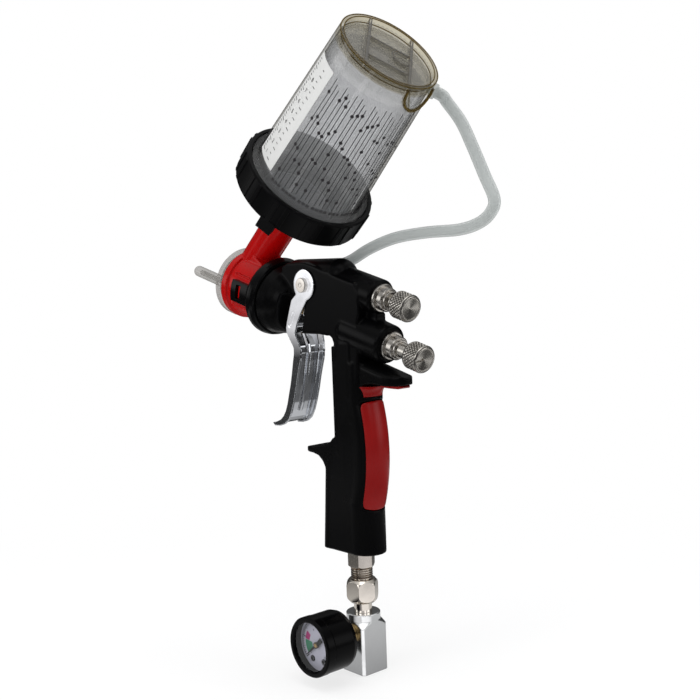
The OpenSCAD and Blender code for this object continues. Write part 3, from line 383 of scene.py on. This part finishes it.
NODE_MATERIAL = {
    "gun_body": BLACK, "nose_ring": NOSE, "grip_pad": PAD, "grip_band": PAD, "tang_pad": PAD,
    "inlet_fitting": NICKEL, "swivel_nut": NICKEL, "swivel_tail": NICKEL, "gauge_block": BLOCK,
    "gauge_stem": BRASS, "gauge_case": GAUGE_BLACK, "gauge_bezel": GAUGE_BLACK, "gauge_lens": LENS,
    "gauge_dial": DIAL, "gauge_tube": BRASS, "gauge_pointer": POINTER, "trigger": CHROME,
    "trigger_pin": CHROME, "pin_clip": STEEL, "needle": STEEL, "needle_spring": STEEL,
    "needle_seal": WHITE, "valve_sleeve": BRASS, "valve_seat": WHITE, "valve_spring": STEEL,
    "valve_guide": BRASS, "fluid_bush": FLUID_AXIS, "fluid_knob": FLUID_AXIS, "spring_guide": STEEL,
    "fan_bush": FAN_AXIS, "fan_knob": FAN_AXIS, "fan_needle": STEEL, "head_body": RED,
    "head_oring": RUBBER, "fluid_nozzle": STEEL, "air_cap": CAP_CLEAR, "cup_collar": COLLAR,
    "cup_lid": LID, "cup_filter": STRAINER, "cup_liner": LINER, "hard_cup": CUP_CLEAR,
    "mix_sheet": SHEET, "cup_label": PAPER, "cup_port": HOSE, "hose": HOSE, "hose_elbow": NICKEL,
}
for name, obj in nodes.items():
    obj.data.materials.clear()
    obj.data.materials.append(NODE_MATERIAL[name])

# ------------------------------------------------------------------ mesh helpers


def make(name, verts, faces, material, body, sharp=35, smooth=True):
    mesh = bpy.data.meshes.new(name)
    mesh.from_pydata([tuple(v) for v in verts], [], faces)
    bm = bmesh.new()
    bm.from_mesh(mesh)
    bmesh.ops.remove_doubles(bm, verts=bm.verts, dist=1e-7)
    bmesh.ops.recalc_face_normals(bm, faces=bm.faces)
    bm.to_mesh(mesh)
    bm.free()
    mesh.polygons.foreach_set("use_smooth", [smooth] * len(mesh.polygons))
    if smooth:
        mesh.set_sharp_from_angle(angle=math.radians(sharp))
    mesh.materials.append(material)
    obj = bpy.data.objects.new(name, mesh)
    bpy.context.scene.collection.objects.link(obj)
    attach(obj, body)
    return obj


def lathe(profile, n=96, shape=None):
    """Points and faces of a turned closed profile [(r, z)] in mm; shape(r, z, angle) may move r."""
    verts, faces = [], []
    m = len(profile)
    for i in range(n):
        a = 2 * math.pi * i / n
        for r, z in profile:
            rr = shape(r, z, a) if shape else r
            verts.append(Vector((rr * math.cos(a), rr * math.sin(a), z)) * MM)
    for i in range(n):
        j = (i + 1) % n
        for k in range(m - 1):
            faces.append((i * m + k, j * m + k, j * m + k + 1, i * m + k + 1))
    return verts, faces


def placed(verts, matrix):
    return [matrix @ v for v in verts]


def joined(parts):
    verts, faces = [], []
    for v, f in parts:
        base = len(verts)
        verts += list(v)
        faces += [tuple(i + base for i in face) for face in f]
    return verts, faces


def tube(path, r_out, r_in, sides=28, ref=Vector((0, 1, 0))):
    """A hose wall along a path: outer skin, inner skin and the two rims."""
    verts, faces = [], []
    count = len(path)
    for radius in (r_out, r_in):
        for i, p in enumerate(path):
            t = (path[min(i + 1, count - 1)] - path[max(i - 1, 0)]).normalized()
            u = ref.cross(t).normalized()
            v = t.cross(u)
            for k in range(sides):
                a = 2 * math.pi * k / sides
                verts.append(p + (u * math.cos(a) + v * math.sin(a)) * radius)
    for shell in (0, 1):
        base = shell * count * sides
        for i in range(count - 1):
            for k in range(sides):
                a, b = base + i * sides + k, base + i * sides + (k + 1) % sides
                faces.append((a, b, b + sides, a + sides))
    for i in (0, count - 1):
        for k in range(sides):
            a, b = i * sides + k, i * sides + (k + 1) % sides
            faces.append((a, b, b + count * sides, a + count * sides))
    return verts, faces


def smooth_path(points, n):
    """Catmull-Rom curve through the points."""
    out = []
    for i in range(len(points) - 1):
        a, b = points[max(i - 1, 0)], points[i]
        c, d = points[i + 1], points[min(i + 2, len(points) - 1)]
        for k in range(n):
            u = k / n
            out.append(0.5 * (2 * b + (c - a) * u + (2 * a - 5 * b + 4 * c - d) * u * u
                              + (3 * b - a - 3 * c + d) * u ** 3))
    return out + [points[-1]]


# ------------------------------------------------------------------ cast body, trigger and head
def soften(node, voxel, passes):
    """Rounds the hard CAD edges of a moulded or pressed piece."""
    obj = nodes[node]
    r = obj.modifiers.new("remesh", "REMESH")
    r.mode = "VOXEL"
    r.voxel_size = voxel
    r.use_smooth_shade = True
    s = obj.modifiers.new("smooth", "SMOOTH")
    s.factor = 0.5
    s.iterations = passes


soften("gun_body", 0.00055, 9)
soften("trigger", 0.0004, 4)
soften("head_body", 0.0005, 5)

# ------------------------------------------------------------------ grip pad
SWELL_R, SWELL_Z, GRIP_R = 109.7, 147.0, 12.3


def grip_pad():
    """The soft pad: rounded corners and rolled edges, lying in the swell of the handle's back."""
    rows, cols = 64, 40
    a0, a1 = math.radians(-17.8), math.radians(16.0)
    half = math.radians(55.5)
    cx = SWELL_R - GRIP_R
    verts, faces = [], []

    def point(u, v, radius):
        # u, v in -1..1; corners rounded by drawing the square in to a superellipse
        k = 1 - 0.10 * (abs(u) ** 6) * (abs(v) ** 22)
        th = (a0 + a1) / 2 + (a1 - a0) / 2 * v * (1 - 0.012 * abs(u) ** 4)
        ph = half * u * k * (1 - 0.10 * abs(v) ** 30)
        ring = SWELL_R + radius * math.cos(ph)
        y = radius * math.sin(ph)
        return Vector((cx - ring * math.cos(th), y, SWELL_Z + ring * math.sin(th))) * MM

    def height(u, v):
        edge_u = min(1, (1 - abs(u)) * 12)
        edge_v = min(1, (1 - abs(v)) * 26)
        roll = min(edge_u, edge_v)
        return GRIP_R + 0.28 - 0.75 * (1 - math.sqrt(max(0, 1 - (1 - roll) ** 2)))

    us = [math.sin(math.pi / 2 * (2 * i / cols - 1)) for i in range(cols + 1)]
    vs = [math.sin(math.pi / 2 * (2 * i / rows - 1)) for i in range(rows + 1)]
    for inner in (0, 1):
        for v in vs:
            for u in us:
                verts.append(point(u, v, 9.95 if inner else height(u, v)))
    w = cols + 1
    size = w * (rows + 1)
    for inner in (0, 1):
        for i in range(rows):
            for j in range(cols):
                a = inner * size + i * w + j
                faces.append((a, a + 1, a + w + 1, a + w))
    rim = [j for j in range(cols)] + [i * w + cols for i in range(rows)]
    rim += [rows * w + j for j in range(cols, 0, -1)] + [i * w for i in range(rows, 0, -1)]
    for a, b in zip(rim, rim[1:] + rim[:1]):
        faces.append((a, b, b + size, a + size))
    return verts, faces


pad = make("soft_grip_pad", *grip_pad(), PAD, "gun", sharp=60)
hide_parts("grip_pad")


def grip_band():
    """The red neck over the pad: flush with the handle below, flaring to the tang above."""
    verts, faces = [], []
    rows, n = 18, 56
    for inner in (0, 1):
        for i in range(rows + 1):
            u = i / rows
            flare = 1 - math.sqrt(max(0, 1 - (u * 0.96) ** 2))
            cx, r = -8.3 - 7.4 * flare, 12.1 + 0.35 * flare
            if inner:
                cx, r = -8.2, 10.95
            a_max = math.acos(max(-1, min(1, (cx + 17.1) / r)))
            for k in range(n + 1):
                a = -a_max + 2 * a_max * k / n
                verts.append(Vector((cx - r * math.cos(a), r * math.sin(a), 183.35 + 6.85 * u)) * MM)
    w, size = n + 1, (n + 1) * (rows + 1)
    for inner in (0, 1):
        for i in range(rows):
            for k in range(n):
                a = inner * size + i * w + k
                faces.append((a, a + 1, a + w + 1, a + w))
    rim = list(range(n)) + [i * w + n for i in range(rows)]
    rim += [rows * w + k for k in range(n, 0, -1)] + [i * w for i in range(rows, 0, -1)]
    for a, b in zip(rim, rim[1:] + rim[:1]):
        faces.append((a, b, b + size, a + size))
    return verts, faces


band = make("soft_grip_band", *grip_band(), PAD, "gun", sharp=50)
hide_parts("grip_band")

# ------------------------------------------------------------------ hose
marks = [cup_pt(201.3, 37.8, 232), cup_pt(201.3, 43, 232), cup_pt(199.3, 47, 232)]
marks += [Vector(p) * MM for p in (
    (-61, -41.5, 353), (-69.5, -41.5, 338), (-79.5, -41, 319), (-89.5, -38, 304), (-88, -36.5, 296),
    (-80, -35, 290), (-66, -32, 286.4), (-41, -28, 285.6), (-17, -24, 283), (4, -21.4, 277),
    (20, -20, 270.2), (28.5, -19.2, 267.6), (32, -19, 267.15), (35.6, -19, 267.1))]
hose = make("air_hose", *tube(smooth_path(marks, 10), 0.0038, 0.0026), HOSE, "gun", sharp=50)
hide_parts("hose")


# ------------------------------------------------------------------ springs
def coil(r, wire, s0, s1, turns):
    n = int(turns * 28)
    pts = []
    for i in range(n + 1):
        a = 2 * math.pi * turns * i / n
        pts.append(BARREL @ (Vector((r * math.cos(a), r * math.sin(a), s0 + (s1 - s0) * i / n)) * MM))
    count, sides = len(pts), 10
    verts, faces = [], []
    for i, p in enumerate(pts):
        t = (pts[min(i + 1, count - 1)] - pts[max(i - 1, 0)]).normalized()
        u = FWD.cross(t).normalized()
        v = t.cross(u)
        for k in range(sides):
            a = 2 * math.pi * k / sides
            verts.append(p + (u * math.cos(a) + v * math.sin(a)) * wire * MM)
    for i in range(count - 1):
        for k in range(sides):
            a, b = i * sides + k, i * sides + (k + 1) % sides
            faces.append((a, b, b + sides, a + sides))
    faces += [tuple(range(sides)), tuple((count - 1) * sides + k for k in range(sides))]
    return verts, faces


spring = make("needle_coil", *coil(3.5, 0.6, -31.6, -14.8, 6), STEEL, "gun", sharp=60)
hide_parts("needle_spring")
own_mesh(spring)
spring = make("valve_coil", *coil(4.6, 0.55, 3.0, 16.3, 5), STEEL, "gun", sharp=60)
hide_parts("valve_spring")
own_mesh(spring)


# ------------------------------------------------------------------ knobs
def knob(h, s, r_shaft, shaft, slot=False):
    """Diamond-knurled knob with a coned, turned end face; s is the front of its grip."""
    back = s - 12.5
    rings = 44
    profile = [(0.0, back + 1.2)] + [(0.3 + 6.1 * i / 24, back + 1.2 - 0.9 * i / 24) for i in range(25)]
    profile += [(6.6, back + 0.05), (6.8, back), (7.6, back), (8.1, back + 0.25), (8.5, back + 0.8)]
    profile.append((8.75, back + 1.4))
    z0, z1 = back + 1.6, s - 1.9
    profile += [(8.8, z0 + (z1 - z0) * i / rings) for i in range(rings + 1)]
    profile += [(8.75, s - 1.6), (8.4, s - 0.9), (7.9, s - 0.2), (7.6, s)]
    profile += [(r_shaft, s), (r_shaft, s + shaft), (1.7, s + shaft)]
    count = 26

    def shape(r, z, a):
        if not (z0 <= z <= z1 and r > 8.7):
            return r
        turn = (z - z0) / 2.4
        one = abs(((a * count / (2 * math.pi) + turn) % 1) - 0.5) * 2
        two = abs(((a * count / (2 * math.pi) - turn) % 1) - 0.5) * 2
        fade = min(1, (z - z0) / 0.5, (z1 - z) / 0.5)
        groove = max(max(0, 1 - one / 0.42), max(0, 1 - two / 0.42))
        return r - 0.62 * groove * fade

    verts, faces = lathe(profile, count * 8, shape)
    if slot:
        # a narrow driver slot pressed into the end face, from near the middle to the edge
        out = []
        for v in verts:
            x, y, z = v / MM
            if z < back + 1.3 and abs(x) < 0.75 and y > 0.3 and math.hypot(x, y) < 7.9:
                z += 0.9
            out.append(Vector((x, y, z)) * MM)
        verts = out
    m = axes(-NRM, FWD, bp(0, h))
    return placed(verts, m), faces


fan = make("fan_knob_knurled", *knob(FAN_HEIGHT, -36.5, 4.2, 30.8), FAN_KNURL, "fan_knob", sharp=28)
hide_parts("fan_knob")
fluid = make("fluid_knob_knurled", *knob(0, -54.6, 4.8, 20.6, slot=True), FLUID_KNURL, "fluid_knob", sharp=28)
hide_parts("fluid_knob")


# ------------------------------------------------------------------ gauge dial printing
def dial_wedge(r0, r1, a0, a1, z0, z1, n=1):
    """A thin block between two radii and two angles, in degrees clockwise from the zero mark."""
    verts, faces = [], []
    for i in range(n + 1):
        a = math.radians(42 - (a0 + (a1 - a0) * i / n))
        for r, z in ((r0, z0), (r1, z0), (r1, z1), (r0, z1)):
            verts.append(GAUGE @ (Vector((r * math.cos(a), r * math.sin(a), z)) * MM))
    for i in range(n):
        for k in range(4):
            a, b = i * 4 + k, i * 4 + (k + 1) % 4
            faces.append((a, b, b + 4, a + 4))
    faces += [(0, 1, 2, 3), (n * 4, n * 4 + 1, n * 4 + 2, n * 4 + 3)]
    return verts, faces


TOP = 39.6  # printed face of the dial, from the gauge axis
ticks = []
for i in range(51):
    a = 270 * i / 50
    w = 0.9 if i % 10 == 0 else 0.55
    r0 = 12.2 if i % 10 == 0 else (13.0 if i % 5 == 0 else 13.8)
    da = math.degrees(w * 0.42 / 14)
    ticks.append(dial_wedge(r0, 15.4, a - da, a + da, TOP, TOP + 0.04))
ticks.append(dial_wedge(15.5, 15.8, 0, 270, TOP, TOP + 0.04, 60))
make("dial_ticks", *joined(ticks), INK, "inlet", smooth=False)
make("dial_arc_green", *dial_wedge(5.6, 12.4, 6, 47, TOP, TOP + 0.04, 24), INK_GREEN, "inlet", smooth=False)
make("dial_arc_magenta", *dial_wedge(8.4, 12.4, 48.5, 76, TOP, TOP + 0.04, 24), INK_MAGENTA, "inlet",
     smooth=False)


def digits(name, text, size, centre, x_dir, y_dir, material, body):
    """Raised printed numbers, turned into a mesh."""
    curve = bpy.data.curves.new(name + "_text", "FONT")
    curve.body = text
    curve.size = size * MM
    curve.extrude = 0.015 * MM
    curve.align_x = "CENTER"
    curve.align_y = "CENTER"
    curve.resolution_u = 3
    tmp = bpy.data.objects.new(name + "_tmp", curve)
    bpy.context.scene.collection.objects.link(tmp)
    bpy.context.view_layer.update()
    graph = bpy.context.evaluated_depsgraph_get()
    mesh = bpy.data.meshes.new_from_object(tmp.evaluated_get(graph))
    bpy.data.objects.remove(tmp)
    m = axes(x_dir, x_dir.cross(y_dir), centre)
    mesh.transform(m)
    mesh.materials.clear()
    mesh.materials.append(material)
    obj = bpy.data.objects.new(name, mesh)
    bpy.context.scene.collection.objects.link(obj)
    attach(obj, body)
    return obj


for i in (0, 2, 3, 4, 5):
    a = math.radians(42 - 54 * i)
    p = GAUGE @ (Vector((9.6 * math.cos(a), 9.6 * math.sin(a), TOP + 0.02)) * MM)
    digits(f"dial_number_{i}", str(2 * i), 2.6, p, Vector((-1, 0, 0)), UP, INK, "inlet")
hub = lathe([(0, 41.95), (1.2, 41.95), (1.9, 41.8), (2.1, 41.55), (2.1, 41.45), (0, 41.45)], 48)
make("pointer_hub_cap", placed(hub[0], GAUGE), hub[1], BRASS, "pointer")
for i, angle in enumerate((62, 118)):
    a = math.radians(angle)
    m = GAUGE @ Matrix.Translation(Vector((11.5 * math.cos(a), 11.5 * math.sin(a), 0)) * MM)
    screw = lathe([(0, 40.3), (1.4, 40.3), (1.9, 40.15), (2.0, 39.9), (2.0, 39.62), (0, 39.62)], 40)
    make(f"dial_screw_{i}", placed(screw[0], m), screw[1], GAUGE_BLACK, "inlet")


# ------------------------------------------------------------------ cup printing
def on_sheet(t, phi, lift=0.06):
    return cup_pt(t, cup_wall_r(t) + lift, phi)


def strip(t0, t1, phi, width, n=6):
    """A thin printed line along the cup, as a closed sliver."""
    verts, faces = [], []
    for i in range(n + 1):
        t = t0 + (t1 - t0) * i / n
        d = math.degrees(width / 2 / cup_wall_r(t))
        for lift, side in ((0.04, -d), (0.04, d), (0.08, d), (0.08, -d)):
            verts.append(on_sheet(t, phi + side, lift))
    for i in range(n):
        for k in range(4):
            a, b = i * 4 + k, i * 4 + (k + 1) % 4
            faces.append((a, b, b + 4, a + 4))
    faces += [(0, 1, 2, 3), (n * 4, n * 4 + 1, n * 4 + 2, n * 4 + 3)]
    return verts, faces


def dot(t, phi, radius, sides=12):
    """A thin printed spot on the cup."""
    verts, faces = [], []
    for lift in (0.04, 0.10):
        for k in range(sides):
            a = 2 * math.pi * k / sides
            turn = math.degrees(radius * math.cos(a) / cup_wall_r(t))
            verts.append(on_sheet(t + radius * math.sin(a), phi + turn, lift))
    faces.append(tuple(range(sides)))
    faces.append(tuple(range(sides, 2 * sides)))
    for k in range(sides):
        faces.append((k, (k + 1) % sides, sides + (k + 1) % sides, sides + k))
    return verts, faces


lines, dots = [], []
groups = (3, 4, 3, 4, 3, 4, 3)
phi = 101.0
for g, count in enumerate(groups):
    for k in range(count):
        t0 = 111.5 + (1.2 if k % 2 else 0)
        lines.append(strip(t0, 191.5 - 2.5 * (k % 3), phi, 0.44))
        t = t0 + 7 + 6.3 * ((g * 2 + k * 3) % 4)
        while t < 188:
            dots.append(dot(t, phi, 1.15))
            t += 21 + 4.5 * ((g + k) % 3)
        # row of tiny ratio marks at the foot of each line
        for off, width in ((-0.7, 0.5), (0.4, 0.4), (1.5, 0.45)):
            lines.append(strip(108.2, 110.4, phi + off, width, 1))
        phi += 4.2
    phi += 1.8
make("mixing_lines", *joined(lines), INK, "gun", smooth=False)
make("mixing_dots", *joined(dots), INK, "gun", smooth=False)


def label_patch(t0, t1, p0, p1, lift=0.24):
    """A thin printed bar on the label, from angle p0 to p1."""
    verts, faces = [], []
    n = max(1, int(abs(p1 - p0) / 2))
    for i in range(n + 1):
        p = p0 + (p1 - p0) * i / n
        for t, up in ((t0, lift), (t1, lift), (t1, lift + 0.03), (t0, lift + 0.03)):
            verts.append(cup_pt(t, cup_wall_r(t) + up, p))
    for i in range(n):
        for k in range(4):
            a, b = i * 4 + k, i * 4 + (k + 1) % 4
            faces.append((a, b, b + 4, a + 4))
    faces += [(0, 1, 2, 3), (n * 4, n * 4 + 1, n * 4 + 2, n * 4 + 3)]
    return verts, faces


marks_black = []
for i in range(36):
    t = 115 + i * 2.1
    long = i % 4 == 0
    marks_black.append(label_patch(t, t + 0.5, 63, 63 + (6.5 if long else 3.6)))
    if i % 2 == 0:
        marks_black.append(label_patch(t, t + 0.5, 80, 80 + (4.4 if long else 2.6)))
make("label_ticks", *joined(marks_black), INK, "gun", smooth=False)
for i in range(8):
    t, a = 117 + i * 8.4, math.radians(74)
    out = (CUP_FRONT * math.cos(a) + SIDE * math.sin(a)).normalized()
    across = CUP_UP.cross(out).normalized()
    at = cup_pt(t, cup_wall_r(t) + 0.3, 74)
    digits(f"label_number_{i}", str(i + 1), 4.2, at, across, out.cross(across), INK, "gun")


# ------------------------------------------------------------------ cup rim, tab and neck edges
def bead(r, t, w, sides, n):
    """A round bead about an axis: radius r, height t, bead radius w."""
    turns = [2 * math.pi * k / sides for k in range(sides + 1)]
    return lathe([(r + w * math.cos(a), t + w * math.sin(a)) for a in turns], n)


rim = joined([bead(r, t, w, 12, 128) for r, t, w in
              ((33.6, 210.45, 0.42), (31.55, 210.5, 0.36), (31.25, 206.5, 0.32))])
make("cup_rim_edges", placed(rim[0], CUP), rim[1], AMBER, "gun", sharp=60)
TAB_PHI = 187  # the looped tab's angle round the cup
loop = []
for i in range(41):
    a = math.pi * i / 40
    off, t = 11.4 * math.cos(a), 207 - 11.4 * math.sin(a)
    r = cup_wall_r(t) + 1.6
    loop.append(cup_pt(t, r, TAB_PHI + math.degrees(off / r)))
first, last = (cup_pt(209.8, cup_wall_r(209.8) + 1.2, TAB_PHI + side) for side in (19, -19))
make("cup_tab_edge", *tube([first] + loop + [last], 0.0009, 0.0002, 16, CUP_UP), AMBER, "gun", sharp=60)
# ribs, pocket walls and port ring on the closed end
END = CUP @ Matrix.Rotation(math.radians(53.7), 4, "Z")


def end_line(x0, y0, x1, y1, t, w):
    pts = [END @ (Vector((x0 + (x1 - x0) * k / 8, y0 + (y1 - y0) * k / 8, t)) * MM) for k in range(9)]
    return tube(pts, w * MM, 0.1 * MM, 12, CUP_UP)


walls = []
for x in (-14.7, 14.7):
    for dx in (-0.75, 0.75):
        walls.append(end_line(x + dx, -27.3, x + dx, 27.3, 209.9, 0.28))
for y in (-8, 14):
    walls.append(end_line(-14, y, 14, y, 209.0, 0.3))
port = bead(6.5, 208.7, 0.35, 10, 48)
walls.append((placed(port[0], CUP @ Matrix.Translation(Vector((-4, -9, 0)) * MM)), port[1]))
make("cup_end_edges", *joined(walls), AMBER, "gun", sharp=60)

# woven strainer in place of the plain perforated disc
PITCH_MM = 1.55
wires = []
for k in range(-16, 17):
    c = k * PITCH_MM
    half = math.sqrt(25.2 ** 2 - c ** 2)
    for axis in (0, 1):
        pts = []
        for j in range(41):
            u = -half + 2 * half * j / 40
            weave = 0.16 * math.cos(math.pi * (u / PITCH_MM + k + axis))
            p = (u, c) if axis == 0 else (c, u)
            pts.append(CUP @ (Vector((p[0], p[1], 83.65 + weave)) * MM))
        wires.append(tube(pts, 0.2 * MM, 0.05 * MM, 6, CUP_UP))
hoop = lathe([(24.9, 83.25), (26.1, 83.25), (26.1, 84.05), (24.9, 84.05), (24.9, 83.25)], 96)
wires.append((placed(hoop[0], CUP), hoop[1]))
strainer = make("strainer_mesh", *joined(wires), STRAINER, "gun", sharp=60)
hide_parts("cup_filter")

# turned trigger pin: circlip groove at one end, dished head at the other
pin = lathe([(0, -15.4), (3, -15.4), (3, -14.3), (2.35, -14.3), (2.35, -13.5), (3, -13.5), (3, 13.06),
             (4.9, 13.06), (4.9, 15.3), (4.6, 15.7), (4.2, 15.8), (1.7, 15.8), (1.6, 15.6), (1.3, 15.6),
             (1.2, 15.8), (0, 15.8)], 96)
pin = make("trigger_pin_turned", placed(pin[0], PIVOT), pin[1], PIN, "gun", sharp=30)
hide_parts("trigger_pin")

# the fitting's thread: sharp ridges above the nut
thread = [(6.0, 61.6)]
for i in range(5):
    z = 61.7 + i * 1.5
    thread += [(6.25, z), (7.25, z + 0.6), (7.25, z + 0.85), (6.25, z + 1.45)]
thread += [(6.0, 69.4), (6.0, 61.6)]
make("fitting_thread", *lathe(thread, 72), THREAD, "gun", sharp=20)

# ------------------------------------------------------------------ stage, light and camera
FLOOR_Z = -0.0004
bpy.ops.mesh.primitive_plane_add(size=8, location=(0, 0, FLOOR_Z))
floor = bpy.context.object
floor.name = "floor"
m, t = new_material("floor_pale")
coord = add(t, "TexCoord").outputs["Object"]
dist = add(t, "VectorMath", {"operation": "LENGTH"}, i0=coord).outputs["Value"]
far = ramp(t, dist, [(0.18, grey(0)), (0.55, grey(1))], "EASE")
pale = mix_rgb(t, noise(t, coord, 6.0), (0.93, 0.93, 0.935), (0.97, 0.97, 0.97))
matt = add(t, "BsdfDiffuse", Color=pale).outputs[0]
white = add(t, "Emission", Color=(1, 1, 1, 1), Strength=1.0).outputs[0]
close_by = add(t, "MixShader", i0=0.72, i1=matt, i2=white).outputs[0]
lit = add(t, "MixShader", i0=far, i1=close_by, i2=white).outputs[0]
# what the polished metal sees in the floor, by distance from the gun
glare = ramp(t, dist, [(0.0, grey(0.62)), (0.13, grey(0.55)), (0.25, grey(0.10)), (0.42, grey(0.06)),
                       (0.48, grey(1.0)), (0.54, grey(1.0)), (0.60, grey(0.05)), (1.0, grey(0.04))], "EASE")
mirror = add(t, "Emission", Color=glare, Strength=1.0).outputs[0]
seen = add(t, "LightPath").outputs["Is Glossy Ray"]
close(t, add(t, "MixShader", i0=seen, i1=lit, i2=mirror).outputs[0])
floor.data.materials.append(m)
bpy.context.scene.cycles.transparent_max_bounces = 40

CAM_POS = Vector((-0.53275, 0.47089, 0.27526))
yaw, tip, roll = math.radians(48.72), math.radians(5.08), math.radians(-2.12)
right = Vector((-math.cos(yaw), -math.sin(yaw), 0))
away = Vector((-math.sin(yaw), math.cos(yaw), 0))
back = away * math.cos(tip) + UP * math.sin(tip)
up = UP * math.cos(tip) - away * math.sin(tip)
rolled_right = right * math.cos(roll) + up * math.sin(roll)
rolled_up = up * math.cos(roll) - right * math.sin(roll)
cam_data = bpy.data.cameras.new("camera")
cam_data.sensor_width = 36
cam_data.lens = 56.77
cam_data.clip_start = 0.01
cam = bpy.data.objects.new("camera", cam_data)
bpy.context.scene.collection.objects.link(cam)
rot = Matrix((rolled_right, rolled_up, back)).transposed().to_4x4()
rot.translation = CAM_POS
cam.matrix_world = rot
bpy.context.scene.camera = cam

world = bpy.data.worlds.new("studio")
bpy.context.scene.world = world
world.use_nodes = True
t = world.node_tree
t.nodes.clear()
ray = add(t, "TexCoord").outputs["Generated"]


def toward(direction):
    d = direction.normalized()
    return add(t, "VectorMath", {"operation": "DOT_PRODUCT"}, i0=ray, i1=tuple(d)).outputs["Value"]


# what the metal and gloss see: a dark studio with bright panels
flat_cam = Vector((CAM_POS.x, CAM_POS.y, 0.05))
level = ramp(t, add(t, "SeparateXYZ", Vector=ray).outputs[2],
             [(0.0, grey(0.03)), (0.12, grey(0.05)), (0.35, grey(0.09)), (0.65, grey(0.42)),
              (0.95, grey(0.9))], "EASE")
sky = level
near = flat_cam.normalized()
for direction, start, full, power in (
        (near * 0.35 + right * 0.90 + UP * 0.15, 0.900, 0.988, 1.5),
        (near * -0.02 - right * 0.95 + UP * 0.18, 0.955, 0.990, 1.7),
        (near * 0.30 + UP, 0.93, 0.98, 1.2),
        (near * 0.60 - right * 0.50 + UP * 0.20, 0.965, 0.990, 2.2),
        (near * 0.75 + right * 0.35 + UP * 0.25, 0.980, 0.994, 1.5)):
    panel = ramp(t, toward(direction), [(start, grey(0)), (full, grey(power))], "EASE")
    sky = add(t, "MixRGB", {"blend_type": "ADD"}, Fac=1.0, Color1=sky, Color2=panel).outputs[0]
path = add(t, "LightPath")
glossy_sky = add(t, "Background", Color=sky, Strength=0.85).outputs[0]
even = add(t, "Background", Color=(0.98, 0.99, 1, 1), Strength=0.62).outputs[0]
plain = add(t, "Background", Color=(1, 1, 1, 1), Strength=1.0).outputs[0]
lit = add(t, "MixShader", i0=path.outputs["Is Glossy Ray"], i1=even, i2=glossy_sky).outputs[0]
out = t.nodes.new("ShaderNodeOutputWorld")
t.links.new(add(t, "MixShader", i0=path.outputs["Is Camera Ray"], i1=lit, i2=plain).outputs[0], out.inputs[0])


def softbox(name, at, size, power, target=(0, 0, 0.22), size_y=None):
    """A large soft light that lights the gun but is not mirrored in it."""
    data = bpy.data.lights.new(name, "AREA")
    data.shape = "RECTANGLE"
    data.size = size
    data.size_y = size_y or size
    data.energy = power
    obj = bpy.data.objects.new(name, data)
    bpy.context.scene.collection.objects.link(obj)
    obj.location = at
    obj.rotation_euler = (Vector(target) - Vector(at)).to_track_quat("-Z", "Y").to_euler()
    obj.visible_glossy = False


softbox("top", (-0.1, 0.1, 1.3), 1.0, 8)
softbox("left", tuple(CAM_POS * 0.7 - right * 0.8 + Vector((0, 0, 0.35))), 0.5, 3, size_y=0.9)
softbox("right", tuple(CAM_POS * 0.4 + right * 0.9 + Vector((0, 0, 0.3))), 0.4, 2.5, size_y=0.9)
bpy.context.scene.view_settings.view_transform = "Standard"
bpy.context.scene.view_settings.look = "None"
